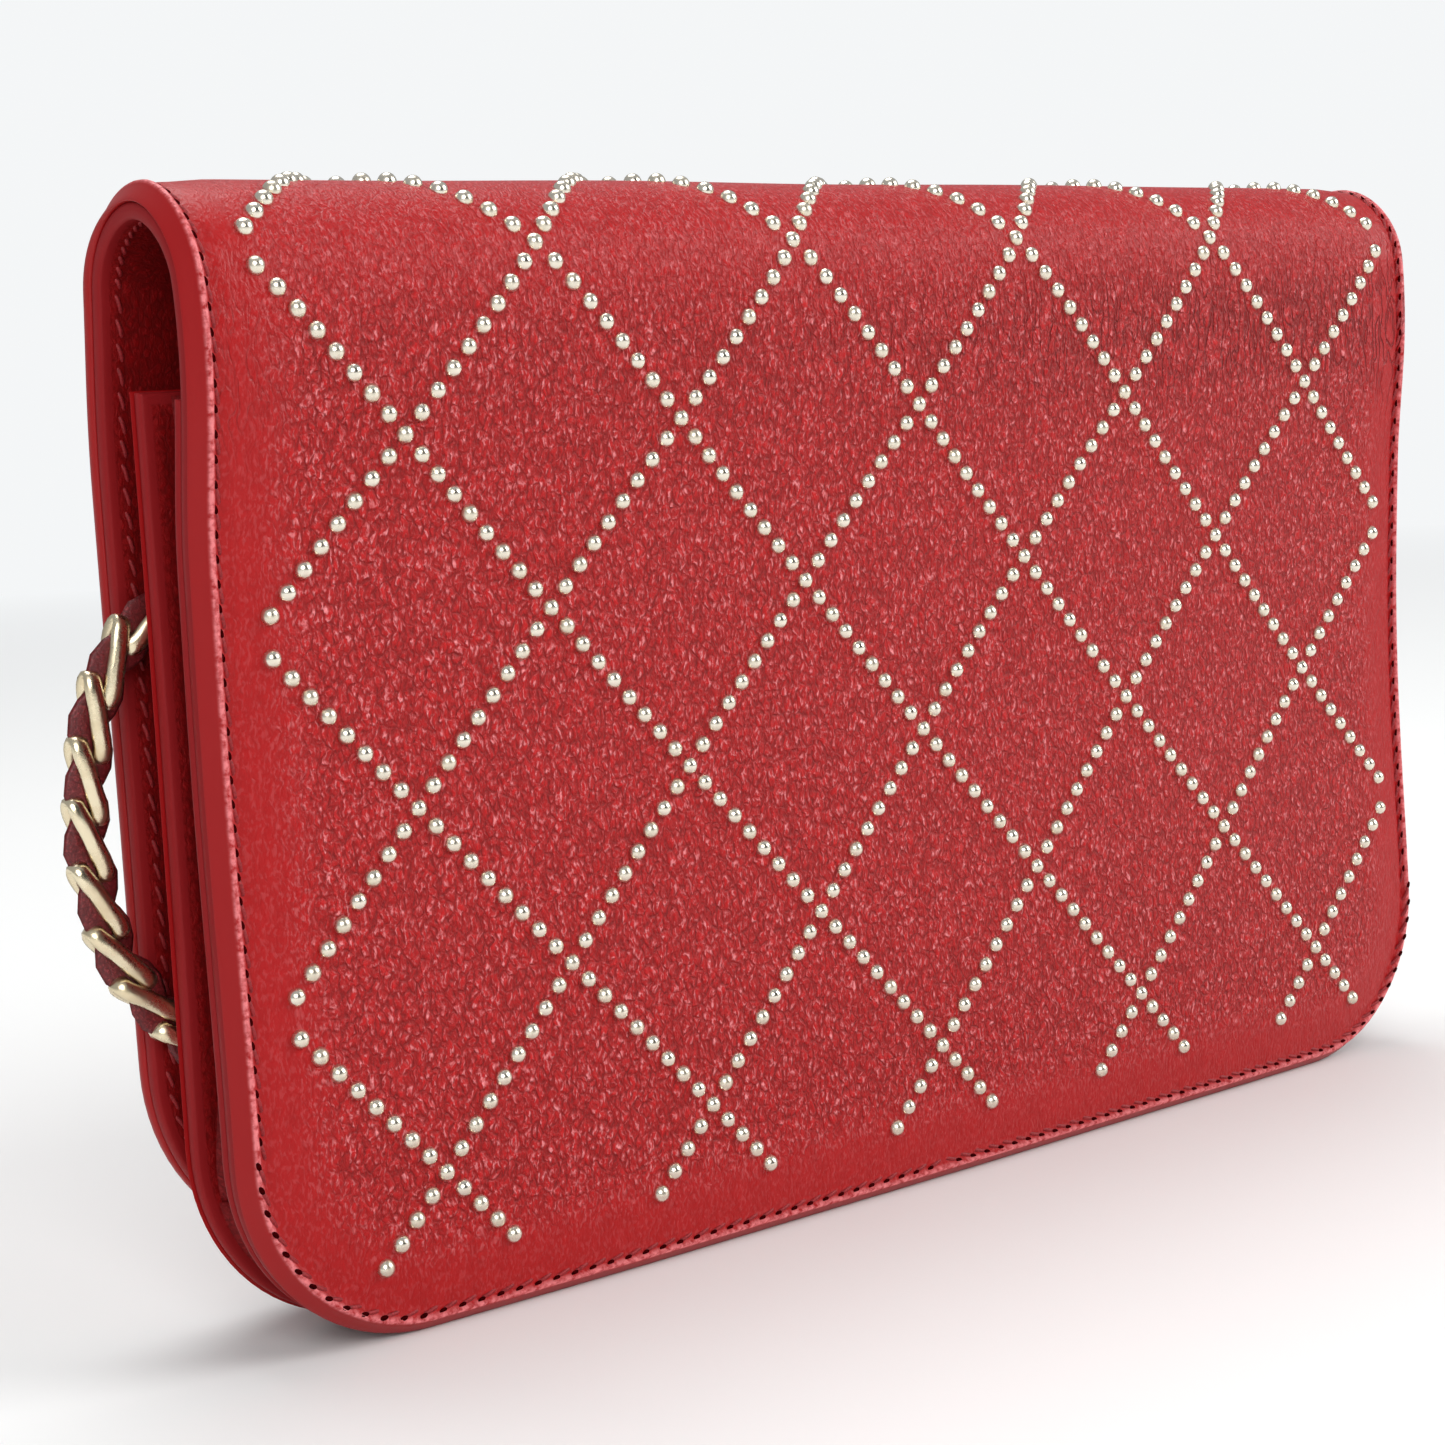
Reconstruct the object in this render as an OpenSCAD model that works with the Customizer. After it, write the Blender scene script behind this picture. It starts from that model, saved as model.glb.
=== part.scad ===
// Chain wallet: a slim leather wallet whose studded rear panel runs over a rounded
// top and comes down in front as a flap.  Millimetres.
// X runs along the width, Y from the studded rear face (-Y) to the flap (+Y), Z up.
// The origin is at the middle of the wallet's foot.

/* [Wallet] */
// Width across the panels
body_w = 192; // [180:1:200]
// Depth from the rear panel's face to the flap's face
body_d = 24; // [24:1:30]
// Height at which the flat panels meet the rounded top
spring_z = 110.5; // [106:0.5:116]
// Radius of the panels' bottom corners
corner_r = 22; // [16:1:26]
// Height of the flap's lower edge above the foot
flap_gap_z = 7; // [6.5:0.5:12]

/* [Leather] */
// Thickness of the outer leather
leather_t = 2.2; // [1.8:0.1:2.4]
// Thickness of the lining leather
lining_t = 1.8; // [1.4:0.1:2]
// Thickness of a card slot's ply
card_ply_t = 0.6; // [0.4:0.1:0.6]

/* [Front pocket] */
// Height of the front pocket's top edge
pocket_z = 100; // [96:1:104]
// Thickness of the pocket's outer leather
pocket_leather_t = 2; // [1.6:0.1:2]
// Thickness of the pocket's lining
pocket_lining_t = 1.6; // [1.2:0.1:1.6]
// Gap between the pocket and the closed flap
under_flap = 5; // [4.6:0.1:5.4]

/* [Studs] */
// Radius of a domed stud
stud_r = 1.05; // [0.8:0.05:1.1]
// Step along X from one stud to the next in a line
stud_dx = 2; // [1.8:0.05:2]
// Step along Z from one stud to the next in a line
stud_dz = 2.15; // [2:0.05:2.2]

/* [Chain] */
// Width of the chain strap
chain_w = 6; // [5:0.5:6]
// Thickness of the chain strap
chain_t = 3.2; // [2.6:0.2:3.2]
// Distance of each eyelet from the middle
eyelet_x = 86; // [84:0.5:87]
// Height of the eyelets
eyelet_z = 78; // [74:0.5:80]

/* [Hidden] */

$fn = 48;
red = "#b3161f";
lining_red = "#8f141c";
card_red = "#a31a22";
gold = "#e3cd9b";
tape_red = "#7c1219";

// Running gap between pieces on different bodies
joint_gap = 0.2;
// Gap that keeps a stud clear of the curved top
seat_gap = 0.03;

// Layers from the rear face to the flap's face, as Y
rear_y = -body_d / 2;
rear_lining_y = rear_y + leather_t;
rear_inside_y = rear_lining_y + lining_t;
flap_face_y = body_d / 2;
flap_lining_y = flap_face_y - leather_t;
flap_inside_y = flap_lining_y - lining_t;
pocket_face_y = flap_inside_y - under_flap;
pocket_lining_y = pocket_face_y - pocket_leather_t;
pocket_inside_y = pocket_lining_y - pocket_lining_t;

// The rounded top is a half ring: its radii and its crest
top_r = body_d / 2;
top_mid_r = top_r - leather_t;
top_inside_r = top_mid_r - lining_t;
crest_z = spring_z + top_r;

// Gussets: how far the fold reaches inwards, its ply and where the sides meet the bottom
gusset_fold = 8;
gusset_t = 1.1;
gusset_inset = 1;
gusset_foot_z = 16;
bottom_inset = 0.8;
bottom_t = 1.6;

// Card slots: outer and inner side, foot, top edge of the lowest row, step between rows
card_out_x = 87;
card_in_x = 1;
card_foot_z = 24;
card_row_z = 76;
card_row_step = 8;

// Zip pocket on the lining of the front panel
zip_w = 156;
zip_foot_z = 10;
zip_panel_z = 88;
zip_tape_h = 4;
zip_ply_t = 0.6;
zip_plane_y = pocket_inside_y - 1.2;
teeth_h = 2.4;
teeth_t = 0.8;
teeth_y = zip_plane_y - 0.2;
tooth_w = 1.4;
tooth_pitch = 2;
teeth_count = 75;
slider_x = -68;
slider_w = 8;
slider_plate_t = 1;
slider_gap = 0.15;
slider_lip = 0.8;
bridge_r = 1;
bridge_pin_r = 0.4;
pull_z = zip_panel_z + zip_tape_h + teeth_h / 2;
pull_y = teeth_y - slider_gap - slider_plate_t - bridge_r - slider_gap;
pull_w = 3;
pull_h = 8;
pull_t = 0.6;
pull_eye_r = 1.3;

// Eyelets and the bars that hold the chain's ends behind them
eyelet_bore_r = 3.6;
eyelet_barrel_r = 4.4;
eyelet_flange_r = 5.8;
eyelet_flange_t = 0.7;
hole_gap = 0.05;
anchor_r = 1;
anchor_h = 12;
anchor_y = pocket_inside_y - eyelet_flange_t - 1.3;

// Magnetic snap: a post on the pocket enters a cap under the flap
snap_z = 38;
snap_base_r = 6;
snap_base_t = 1.4;
snap_post_r = 1.8;
snap_post_t = 2.6;
snap_cap_r = 6.5;
snap_cap_t = 3;
snap_hole_r = 2.8;
snap_hole_t = 2.5;

// Stud lattice, counted in steps of one stud: nine steps make one side of a diamond
edge_steps = 9;
columns = 10 * edge_steps;
rear_first = -40;
rear_last = 7;
top_rear_last = 16;
top_front_last = 25;
flap_last = 68;
// The lattice crosses the edge of the rounded top half way between two studs
edge_step = 7.5;
step_angle = 10;
top_steps = 18;

// Chain strap: it leaves the left eyelet, bows out past the edge, tucks back behind
// the flap, drops to the surface and lies in a tied hank before it climbs to the right eyelet.
hank_y = 40;
hank_half = 38;
hank_in_r = 11;
hank_out_r = 23;
hank_h = 2 * chain_t;
tie_w = 8;
tie_t = 0.6;
tube_sides = 8;
lay_low_z = 3;
lay_high_z = 9;
left_route = [
    [-86, 3.9, 78], [-88.8, 5.6, 78], [-92, 5.6, 77.5], [-95.5, 5.5, 75.5], [-98.5, 5.6, 71.5],
    [-100.3, 5.8, 66], [-101.3, 6, 60], [-101.5, 6, 54], [-100.8, 6, 48], [-99, 5.9, 42],
    [-95.8, 5.7, 36.8], [-91.3, 5.5, 32], [-86, 5.4, 27], [-80.3, 5.4, 21.7], [-74.6, 5.4, 16.6],
    [-69.5, 5.4, 11.4], [-65.5, 5.9, 6.2], [-61.6, 8.4, 2.9], [-57, 12.8, 1.7], [-51.5, 17, 1.6],
    [-46.5, 19.2, 1.6], [-42, 20, 1.6]
];
right_route = [
    [42, 20, 4.8], [50, 20, 4.3], [57, 20, 3.1], [63, 20, 2.1], [69, 19.7, 1.6], [75, 18.9, 1.6],
    [80, 17.2, 1.6], [85, 13.8, 1.6], [87.4, 10, 2.6], [88, 6.6, 6.4], [88, 5.4, 13],
    [88, 5.4, 20], [88, 5.4, 27], [88, 5.4, 36], [88, 5.4, 45], [88, 5.4, 54],
    [87.6, 5.5, 63], [86.8, 5.6, 70], [86.2, 5.7, 74.2], [86, 4.3, 77.5]
];

// Outline of a panel with round bottom corners, drawn as X and Z
module panel_outline(top, inset = 0, foot = 0) {
    half = body_w / 2 - inset;
    r = corner_r - inset;
    low = foot + inset;
    translate([-half, low + r]) square([2 * half, top - low - r]);
    translate([-half + r, low]) square([2 * (half - r), r + 0.01]);
    for (side = [-1, 1]) translate([side * (half - r), low + r]) circle(r);
}

// Stands an outline drawn as X and Z upright, from y0 to y1
module upright(y0, y1) {
    translate([0, y1, 0]) rotate([90, 0, 0]) linear_extrude(y1 - y0) children();
}

// A disc or rod whose axis lies along Y
module rod_y(x, z, r, y0, y1) {
    translate([x, y1, z]) rotate([90, 0, 0]) cylinder(r = r, h = y1 - y0);
}

// One quarter of the rounded top, as a shell between two radii; side is -1 or 1
module quarter_shell(side, r_in, r_out) {
    translate([-body_w / 2, 0, spring_z]) rotate([90, 0, 90]) linear_extrude(body_w)
        intersection() {
            difference() {
                circle(r_out);
                circle(r_in);
            }
            translate([side > 0 ? joint_gap / 2 : -2 * r_out - joint_gap / 2, 0])
                square([2 * r_out, 2 * r_out]);
        }
}

// A domed stud standing on the XY plane
module stud() {
    rotate_extrude($fn = 24) intersection() {
        circle(stud_r);
        square(stud_r);
    }
}

// Puts a stud at column k (from the left) and row v, both counted in stud steps
module place_stud(k, v) {
    x = (k - columns / 2) * stud_dx;
    if (v < edge_step)
        translate([x, rear_y, spring_z + (v - edge_step) * stud_dz]) rotate([90, 0, 0]) stud();
    else if (v < edge_step + top_steps)
        translate([x, 0, spring_z]) rotate([(v - edge_step) * -step_angle, 0, 0])
            translate([0, -top_r - seat_gap, 0]) rotate([90, 0, 0]) stud();
    else
        translate([x, flap_face_y, spring_z - (v - edge_step - top_steps) * stud_dz])
            rotate([-90, 0, 0]) stud();
}

// All studs of the lattice whose rows lie between two limits.  Its lines run both ways
// through the crossings, which are an odd number of diamond sides apart.
module stud_lattice(first, last) {
    for (k = [1 : columns - 1], line = [-4 : 8]) {
        shift = edge_steps * (2 * line + 1);
        rise = k - shift;
        fall = shift - k;
        if (rise >= first && rise <= last) place_stud(k, rise);
        if (k % edge_steps != 0 && fall >= first && fall <= last) place_stud(k, fall);
    }
}

module rear_panel_leather() {
    color(red) upright(rear_y, rear_lining_y) panel_outline(spring_z - joint_gap);
}

module rear_panel_lining() {
    color(lining_red) upright(rear_lining_y, rear_inside_y) panel_outline(spring_z - joint_gap, 0.4);
}

module rear_studs() {
    color(gold) stud_lattice(rear_first, rear_last);
}

module eyelet_holes(y0, y1) {
    for (side = [-1, 1])
        rod_y(side * eyelet_x, eyelet_z, eyelet_barrel_r + hole_gap, y0 - 1, y1 + 1);
}

module front_panel_leather() {
    color(red) difference() {
        upright(pocket_lining_y, pocket_face_y) panel_outline(pocket_z);
        eyelet_holes(pocket_lining_y, pocket_face_y);
    }
}

module front_panel_lining() {
    color(lining_red) difference() {
        upright(pocket_inside_y, pocket_lining_y) panel_outline(pocket_z, 0.4);
        eyelet_holes(pocket_inside_y, pocket_lining_y);
    }
}

// A side gusset folded inwards like a V; side is -1 on the left, 1 on the right
module side_gusset(side) {
    out_x = body_w / 2 - gusset_inset;
    mid_y = (rear_inside_y + pocket_inside_y) / 2;
    translate([0, 0, gusset_foot_z]) linear_extrude(pocket_z - gusset_foot_z)
        polygon([
            [side * out_x, rear_inside_y], [side * (out_x - gusset_t), rear_inside_y],
            [side * (out_x - gusset_fold), mid_y], [side * (out_x - gusset_t), pocket_inside_y],
            [side * out_x, pocket_inside_y], [side * (out_x - gusset_fold + gusset_t), mid_y]
        ]);
}

module left_gusset() {
    color(card_red) side_gusset(-1);
}

module right_gusset() {
    color(card_red) side_gusset(1);
}

module bottom_gusset() {
    color(card_red) upright(rear_inside_y, pocket_inside_y) difference() {
        panel_outline(gusset_foot_z + corner_r, bottom_inset);
        panel_outline(gusset_foot_z + 2 * corner_r, bottom_inset + bottom_t);
        translate([-body_w, gusset_foot_z]) square([2 * body_w, body_w]);
    }
}

// One card slot ply; row 0 is the lowest and lies furthest inwards
module card_slot(side, row) {
    ply = 2 - row;
    x0 = side < 0 ? -card_out_x : card_in_x;
    y0 = rear_inside_y + ply * card_ply_t;
    top = card_row_z + row * card_row_step;
    translate([x0, y0, card_foot_z]) cube([card_out_x - card_in_x, card_ply_t, top - card_foot_z]);
}

module card_slot_left_top() {
    color(card_red) card_slot(-1, 2);
}

module card_slot_left_middle() {
    color(card_red) card_slot(-1, 1);
}

module card_slot_left_bottom() {
    color(card_red) card_slot(-1, 0);
}

module card_slot_right_top() {
    color(card_red) card_slot(1, 2);
}

module card_slot_right_middle() {
    color(card_red) card_slot(1, 1);
}

module card_slot_right_bottom() {
    color(card_red) card_slot(1, 0);
}

// A strip of the zip pocket's wall, of thickness t, between two heights
module zip_strip(t, z0, z1) {
    translate([-zip_w / 2, zip_plane_y, z0]) cube([zip_w, t, z1 - z0]);
}

module zip_pocket_panel() {
    color(card_red) zip_strip(zip_ply_t, zip_foot_z, zip_panel_z);
}

module zip_tape_lower() {
    color(tape_red) zip_strip(zip_ply_t, zip_panel_z, zip_panel_z + zip_tape_h - 0.1);
}

module zip_tape_upper() {
    z0 = zip_panel_z + zip_tape_h + teeth_h + 0.1;
    color(tape_red) zip_strip(pocket_inside_y - zip_plane_y, z0, pocket_z - 0.5);
}

module zip_teeth() {
    color(gold) for (i = [0 : teeth_count - 1])
        translate([(i - (teeth_count - 1) / 2) * tooth_pitch - tooth_w / 2, teeth_y, zip_panel_z + zip_tape_h])
            cube([tooth_w, teeth_t, teeth_h]);
}

// The slider's plate with a lip above and below the teeth, and a bridge for the pull
module zip_slider() {
    plate_y = teeth_y - slider_gap - slider_plate_t;
    lip_h = teeth_h / 2 + slider_gap;
    color(gold) {
        translate([slider_x - slider_w / 2, plate_y, pull_z - lip_h - slider_lip])
            cube([slider_w, slider_plate_t, 2 * (lip_h + slider_lip)]);
        translate([slider_x, pull_y, pull_z]) rotate([0, 90, 0])
            cylinder(r = bridge_pin_r, h = pull_w + 1.2, center = true);
        for (side = [-1, 1])
            translate([slider_x + side * (pull_w / 2 + 0.4) - 0.25, pull_y - bridge_pin_r, pull_z - 0.6])
                cube([0.5, plate_y - pull_y + bridge_pin_r, 1.2]);
    }
}

// The pull hangs from the bridge and swings about it
module zip_pull() {
    color(gold) difference() {
        union() {
            translate([slider_x, pull_y, pull_z]) rotate([0, 90, 0])
                cylinder(r = bridge_r, h = pull_w - 0.6, center = true);
            translate([slider_x - pull_w / 2 + 0.3, pull_y - pull_t / 2, pull_z - pull_h])
                cube([pull_w - 0.6, pull_t, pull_h]);
        }
        translate([slider_x, pull_y, pull_z]) rotate([0, 90, 0])
            cylinder(r = bridge_pin_r + hole_gap, h = 2 * pull_w, center = true);
        rod_y(slider_x, pull_z - pull_h + pull_eye_r + 0.8, pull_eye_r / 2, pull_y - 1, pull_y + 1);
    }
}

// A grommet through both plies of the front panel
module eyelet(side) {
    x = side * eyelet_x;
    color(gold) difference() {
        union() {
            rod_y(x, eyelet_z, eyelet_barrel_r, pocket_inside_y, pocket_face_y);
            rod_y(x, eyelet_z, eyelet_flange_r, pocket_face_y, pocket_face_y + eyelet_flange_t);
            rod_y(x, eyelet_z, eyelet_flange_r, pocket_inside_y - eyelet_flange_t, pocket_inside_y);
        }
        rod_y(x, eyelet_z, eyelet_bore_r, pocket_inside_y - 2, pocket_face_y + 2);
    }
}

module eyelet_left() {
    eyelet(-1);
}

module eyelet_right() {
    eyelet(1);
}

// The bar that keeps a chain end from pulling out through its eyelet
module chain_anchor(side) {
    color(gold) translate([side * eyelet_x, anchor_y, eyelet_z - anchor_h / 2])
        cylinder(r = anchor_r, h = anchor_h);
}

module chain_anchor_left() {
    chain_anchor(-1);
}

module chain_anchor_right() {
    chain_anchor(1);
}

module snap_base() {
    color(gold) {
        rod_y(0, snap_z, snap_base_r, pocket_face_y, pocket_face_y + snap_base_t);
        rod_y(0, snap_z, snap_post_r, pocket_face_y, pocket_face_y + snap_base_t + snap_post_t);
    }
}

module snap_cap() {
    face = flap_inside_y - snap_cap_t;
    color(gold) difference() {
        rod_y(0, snap_z, snap_cap_r, face, flap_inside_y);
        rod_y(0, snap_z, snap_hole_r, face - 1, face + snap_hole_t);
    }
}

module top_rear_leather() {
    color(red) quarter_shell(-1, top_mid_r, top_r);
}

module top_rear_lining() {
    color(lining_red) quarter_shell(-1, top_inside_r, top_mid_r);
}

module top_rear_studs() {
    color(gold) stud_lattice(rear_last + 1, top_rear_last);
}

module top_front_leather() {
    color(red) quarter_shell(1, top_mid_r, top_r);
}

module top_front_lining() {
    color(lining_red) quarter_shell(1, top_inside_r, top_mid_r);
}

module top_front_studs() {
    color(gold) stud_lattice(top_rear_last + 1, top_front_last);
}

module flap_leather() {
    color(red) upright(flap_lining_y, flap_face_y)
        panel_outline(spring_z - joint_gap, 0, flap_gap_z);
}

module flap_lining() {
    color(lining_red) upright(flap_inside_y, flap_lining_y)
        panel_outline(spring_z - joint_gap, 0.4, flap_gap_z);
}

module flap_studs() {
    color(gold) stud_lattice(top_front_last + 1, flap_last);
}

// The strap lies flat on the surface and stands flat against the pocket above it:
// the direction of its thickness turns from Z to Y as it climbs
function lay_normal(z) =
    let (w = min(1, max(0, (z - lay_low_z) / (lay_high_z - lay_low_z)))) [0, w, 1 - w];
function unit(v) = v / norm(v);
function route_dir(p, i) = unit(p[min(i + 1, len(p) - 1)] - p[max(i - 1, 0)]);
function thick_dir(p, i) =
    let (t = route_dir(p, i), n = lay_normal(p[i][2])) unit(n - (n * t) * t);

// A flat tube swept along a route, with an oval of tube_sides corners at each point
module strap(route) {
    rings = [
        for (i = [0 : len(route) - 1])
            let (n = thick_dir(route, i), w = cross(route_dir(route, i), n))
                for (j = [0 : tube_sides - 1])
                    let (a = 360 * (j + 0.5) / tube_sides)
                        route[i] + w * cos(a) * chain_w / 2 + n * sin(a) * chain_t / 2
    ];
    sides = [
        for (i = [0 : len(route) - 2], j = [0 : tube_sides - 1])
            let (a = i * tube_sides + j, b = i * tube_sides + (j + 1) % tube_sides)
                [a, b, b + tube_sides, a + tube_sides]
    ];
    first = [for (j = [tube_sides - 1 : -1 : 0]) j];
    last = [for (j = [0 : tube_sides - 1]) (len(route) - 1) * tube_sides + j];
    color(gold) polyhedron(rings, concat(sides, [first, last]), convexity = 8);
}

module chain_left() {
    strap(left_route);
}

module chain_right() {
    strap(right_route);
}

// The hank's outline: two round ends joined by straight runs
module hank_outline(r) {
    square([2 * hank_half, 2 * r], center = true);
    for (side = [-1, 1]) translate([side * hank_half, 0]) circle(r);
}

module chain_hank() {
    color(gold) translate([0, hank_y, 0]) linear_extrude(hank_h) difference() {
        hank_outline(hank_out_r);
        hank_outline(hank_in_r);
    }
}

// A band over the hank's far run
module hank_tie() {
    color(tape_red) translate([-tie_w / 2, hank_y + hank_in_r - tie_t, 0]) difference() {
        cube([tie_w, hank_out_r - hank_in_r + 2 * tie_t, hank_h + tie_t]);
        translate([-1, tie_t, -1]) cube([tie_w + 2, hank_out_r - hank_in_r, hank_h + 1]);
    }
}

rear_panel_leather();
rear_panel_lining();
rear_studs();
front_panel_leather();
front_panel_lining();
left_gusset();
right_gusset();
bottom_gusset();
card_slot_left_top();
card_slot_left_middle();
card_slot_left_bottom();
card_slot_right_top();
card_slot_right_middle();
card_slot_right_bottom();
zip_pocket_panel();
zip_tape_lower();
zip_tape_upper();
zip_teeth();
zip_slider();
zip_pull();
eyelet_left();
eyelet_right();
chain_anchor_left();
chain_anchor_right();
snap_base();
snap_cap();
top_rear_leather();
top_rear_lining();
top_rear_studs();
top_front_leather();
top_front_lining();
top_front_studs();
flap_leather();
flap_lining();
flap_studs();
chain_left();
chain_hank();
hank_tie();
chain_right();
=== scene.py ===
"""Chain wallet: leather panels, domed studs, stitching, gussets, pockets, snap, zip and the
woven chain strap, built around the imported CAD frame.  Lengths below are in millimetres until a
mesh is made, which turns them into metres."""
import math

import bmesh
import bpy
import numpy as np
from mathutils import Matrix, Vector


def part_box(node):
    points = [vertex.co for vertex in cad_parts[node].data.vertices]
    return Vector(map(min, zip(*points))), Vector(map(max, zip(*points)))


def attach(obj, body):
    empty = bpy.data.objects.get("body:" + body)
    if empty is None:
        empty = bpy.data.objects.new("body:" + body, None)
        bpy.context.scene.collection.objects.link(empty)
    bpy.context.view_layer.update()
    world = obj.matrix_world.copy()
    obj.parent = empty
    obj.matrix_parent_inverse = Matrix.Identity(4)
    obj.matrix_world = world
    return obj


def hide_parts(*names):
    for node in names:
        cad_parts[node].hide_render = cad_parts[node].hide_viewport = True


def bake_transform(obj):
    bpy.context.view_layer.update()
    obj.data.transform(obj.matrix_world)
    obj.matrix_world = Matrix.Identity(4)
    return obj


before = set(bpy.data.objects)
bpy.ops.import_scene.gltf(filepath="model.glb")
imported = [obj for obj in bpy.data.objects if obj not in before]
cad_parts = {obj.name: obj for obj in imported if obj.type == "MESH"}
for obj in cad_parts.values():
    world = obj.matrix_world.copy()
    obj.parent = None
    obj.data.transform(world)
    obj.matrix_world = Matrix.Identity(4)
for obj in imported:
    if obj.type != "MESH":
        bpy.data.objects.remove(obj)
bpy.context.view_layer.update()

MM = 0.001


def cad(node):
    """A CAD node's lowest and highest corner, in millimetres."""
    low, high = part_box(node)
    return np.array(low) / MM, np.array(high) / MM


# ---------------------------------------------------------------- sizes, from the frame
REAR_LOW, REAR_HIGH = cad("rear_panel_leather")
TOP_LOW, TOP_HIGH = cad("top_front_leather")
POCKET_LOW, POCKET_HIGH = cad("front_panel_leather")
LINING_LOW, LINING_HIGH = cad("rear_panel_lining")
POCKET_IN = cad("front_panel_lining")[0][1]
HALF_W = REAR_HIGH[0]
SPRING_Z = TOP_LOW[2]
TOP_R = TOP_HIGH[2] - SPRING_Z
LEATHER_T = REAR_HIGH[1] - REAR_LOW[1]
LINING_T = LINING_HIGH[1] - LINING_LOW[1]
FLAP_FOOT = cad("flap_leather")[0][2]
POCKET_TOP = POCKET_HIGH[2]
CORNER_R = 22.0
ARC = math.pi * TOP_R
SHELL_END = SPRING_Z + ARC + SPRING_Z - FLAP_FOOT
SEAM_REAR = SPRING_Z + ARC / 4
SEAM_FRONT = SPRING_Z + 3 * ARC / 4
LINING_INSET = 0.2

# Border of the leather: a bevel, a ridge painted lighter as wear and as a painted highlight, and a row of
# stitches
BEVEL_W = 1.35
BEVEL_H = 1.6
PAINT_W = 1.15
RIDGE_FROM, RIDGE_TO, RIDGE_END = 1.35, 1.75, 2.2
STITCH_INSET = 2.45
STITCH_PITCH = 2.45
SLOT_TURNS = np.linspace(0, 2 * math.pi, 10, endpoint=False)

# A ply's rounded edge, and its grid's distances from the edge; a plain plate needs only the first
EDGE_ROUND = 0.35
EDGE_STEPS = [0, 0.03, 0.1, 0.22, 0.4, 0.9, 1.2, 1.35, 1.5, 1.75, 2.1, 2.45, 2.8, 3.4, 4.6, 6.2, 8.2]
PLATE_STEPS = EDGE_STEPS[:5]

# Gussets, pocket, card slots and zip
GUSSET_T = 0.9
FLANGE_T = 1.1
FLANGE_TOP = 99.0
POCKET_LINING_INSET = 0.25
EYELET_HOLE_R = 4.75
CARD_FACE_DEPTH = 5.85
CARD_STITCH_INSET = 1.2
TOOTH_PITCH = 2.0
TOOTH_HALF = 0.62

# Stud lattice, as in the CAD: steps between studs, and the rows where the rounded top starts and ends
STUD_R = 1.05
STUD_DX = 2.0
STUD_DZ = 2.15
STUDS_PER_SIDE = 9
STUD_COLUMNS = 90
EDGE_STEP = 7.5
TOP_STEPS = 18


# ---------------------------------------------------------------- small maths
def smooth(a, b, t):
    """0 below a, 1 above b, smooth between."""
    t = np.clip((np.asarray(t, float) - a) / (b - a), 0, 1)
    return t * t * (3 - 2 * t)


def bump(centre, half, t):
    """A smooth hill, 1 at centre and 0 from half away."""
    q = np.clip((np.asarray(t, float) - centre) / half, -1, 1)
    return np.cos(q * math.pi / 2) ** 2


def ripple(x, s, scale, seed):
    """A smooth, repeatable undulation of about -1 to 1."""
    a, b = np.asarray(x, float) / scale, np.asarray(s, float) / scale
    waves = [(1.0, 0.31, 0.7), (0.43, 0.97, 2.1), (-0.62, 0.81, 4.4), (0.9, -0.55, 5.2)]
    return sum(np.sin(a * p * 3 + b * q * 3 + c * seed) for p, q, c in waves) / len(waves)


# ---------------------------------------------------------------- the shell's shape
def from_end(s):
    """Distance along the shell to its nearer end: the rear panel's foot or the flap's edge."""
    return np.minimum(s, SHELL_END - s)


def side_x(s):
    """Half width of the shell without its round corners; its sides pull in a little half way up."""
    return HALF_W - 0.3 - 0.4 * bump(52, 50, from_end(s))


def half_width(s, inset=0.0):
    """Half width of the shell at s, with the round corners at its two ends."""
    e = np.maximum(from_end(s) - inset, 0)
    r = CORNER_R - inset
    cut = r - np.sqrt(np.maximum(r * r - np.maximum(r - e, 0) ** 2, 0))
    return side_x(s) - inset - cut


def edge_distance(x, s, inset=0.0):
    """Distance from a point of the shell to its outline."""
    e = from_end(s) - inset
    r = CORNER_R - inset
    out = np.abs(x) - (side_x(s) - inset - r)
    corner = r - np.hypot(np.maximum(out, 0), np.maximum(r - e, 0))
    return np.maximum(np.where((out > 0) & (e < r), corner, np.minimum(r - out, e)), 0)


def relief(x, s):
    """How far the leather's face lies outside the CAD face: dented half way up the rear, swollen
    under the rounded top, and sloping down over the top towards the flap."""
    x = np.asarray(x, float)
    e = from_end(s)
    across = (x / 72) ** 2
    swell = bump(104, 22, s)
    rear_shape = 0.1 - 0.6 * across * (1 - 0.7 * swell) - 1.1 * bump(58, 44, e)
    rear_shape = rear_shape + 0.4 * swell * (2 - x / HALF_W)
    front_shape = -0.2 * across + 0.6 * bump(66, 44, e) - 0.7 * (1 - smooth(8, 34, e))
    rear = 1 - smooth(SPRING_Z - 4, SPRING_Z + ARC / 2, s)
    front = smooth(SPRING_Z + ARC - 8, SPRING_Z + ARC + 8, s)
    slope = smooth(SPRING_Z - 2, SPRING_Z + 38, s) * (1 - smooth(SPRING_Z + ARC - 22, SPRING_Z + ARC + 20, s))
    drop = (2.9 + 0.4 * smooth(30, 96, np.abs(x))) * slope
    wave = 0.12 * ripple(x, s, 26, 1.3) - 0.12
    return rear * rear_shape + front * front_shape - drop + wave


def border(d, bevel=1.0):
    """The border: a bevel up to a rim, a channel at the stitches, then the pad."""
    rim = 0.28 * np.exp(-(((d - BEVEL_W - 0.35) / 0.45) ** 2))
    slope = bevel * BEVEL_H * np.clip(1 - d / BEVEL_W, 0, 1)
    return rim - slope - 0.3 * (1 - smooth(3.5, 9.0, d)) - 0.25 * bump(STITCH_INSET + 0.15, 0.9, d)


def leather_top(x, s):
    """Height of the leather's outer face; the flap's edge is hardly bevelled."""
    bevel = 1 - 0.75 * smooth(SPRING_Z + ARC / 2, SPRING_Z + ARC, s)
    return relief(x, s) + border(edge_distance(x, s), bevel)


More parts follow.
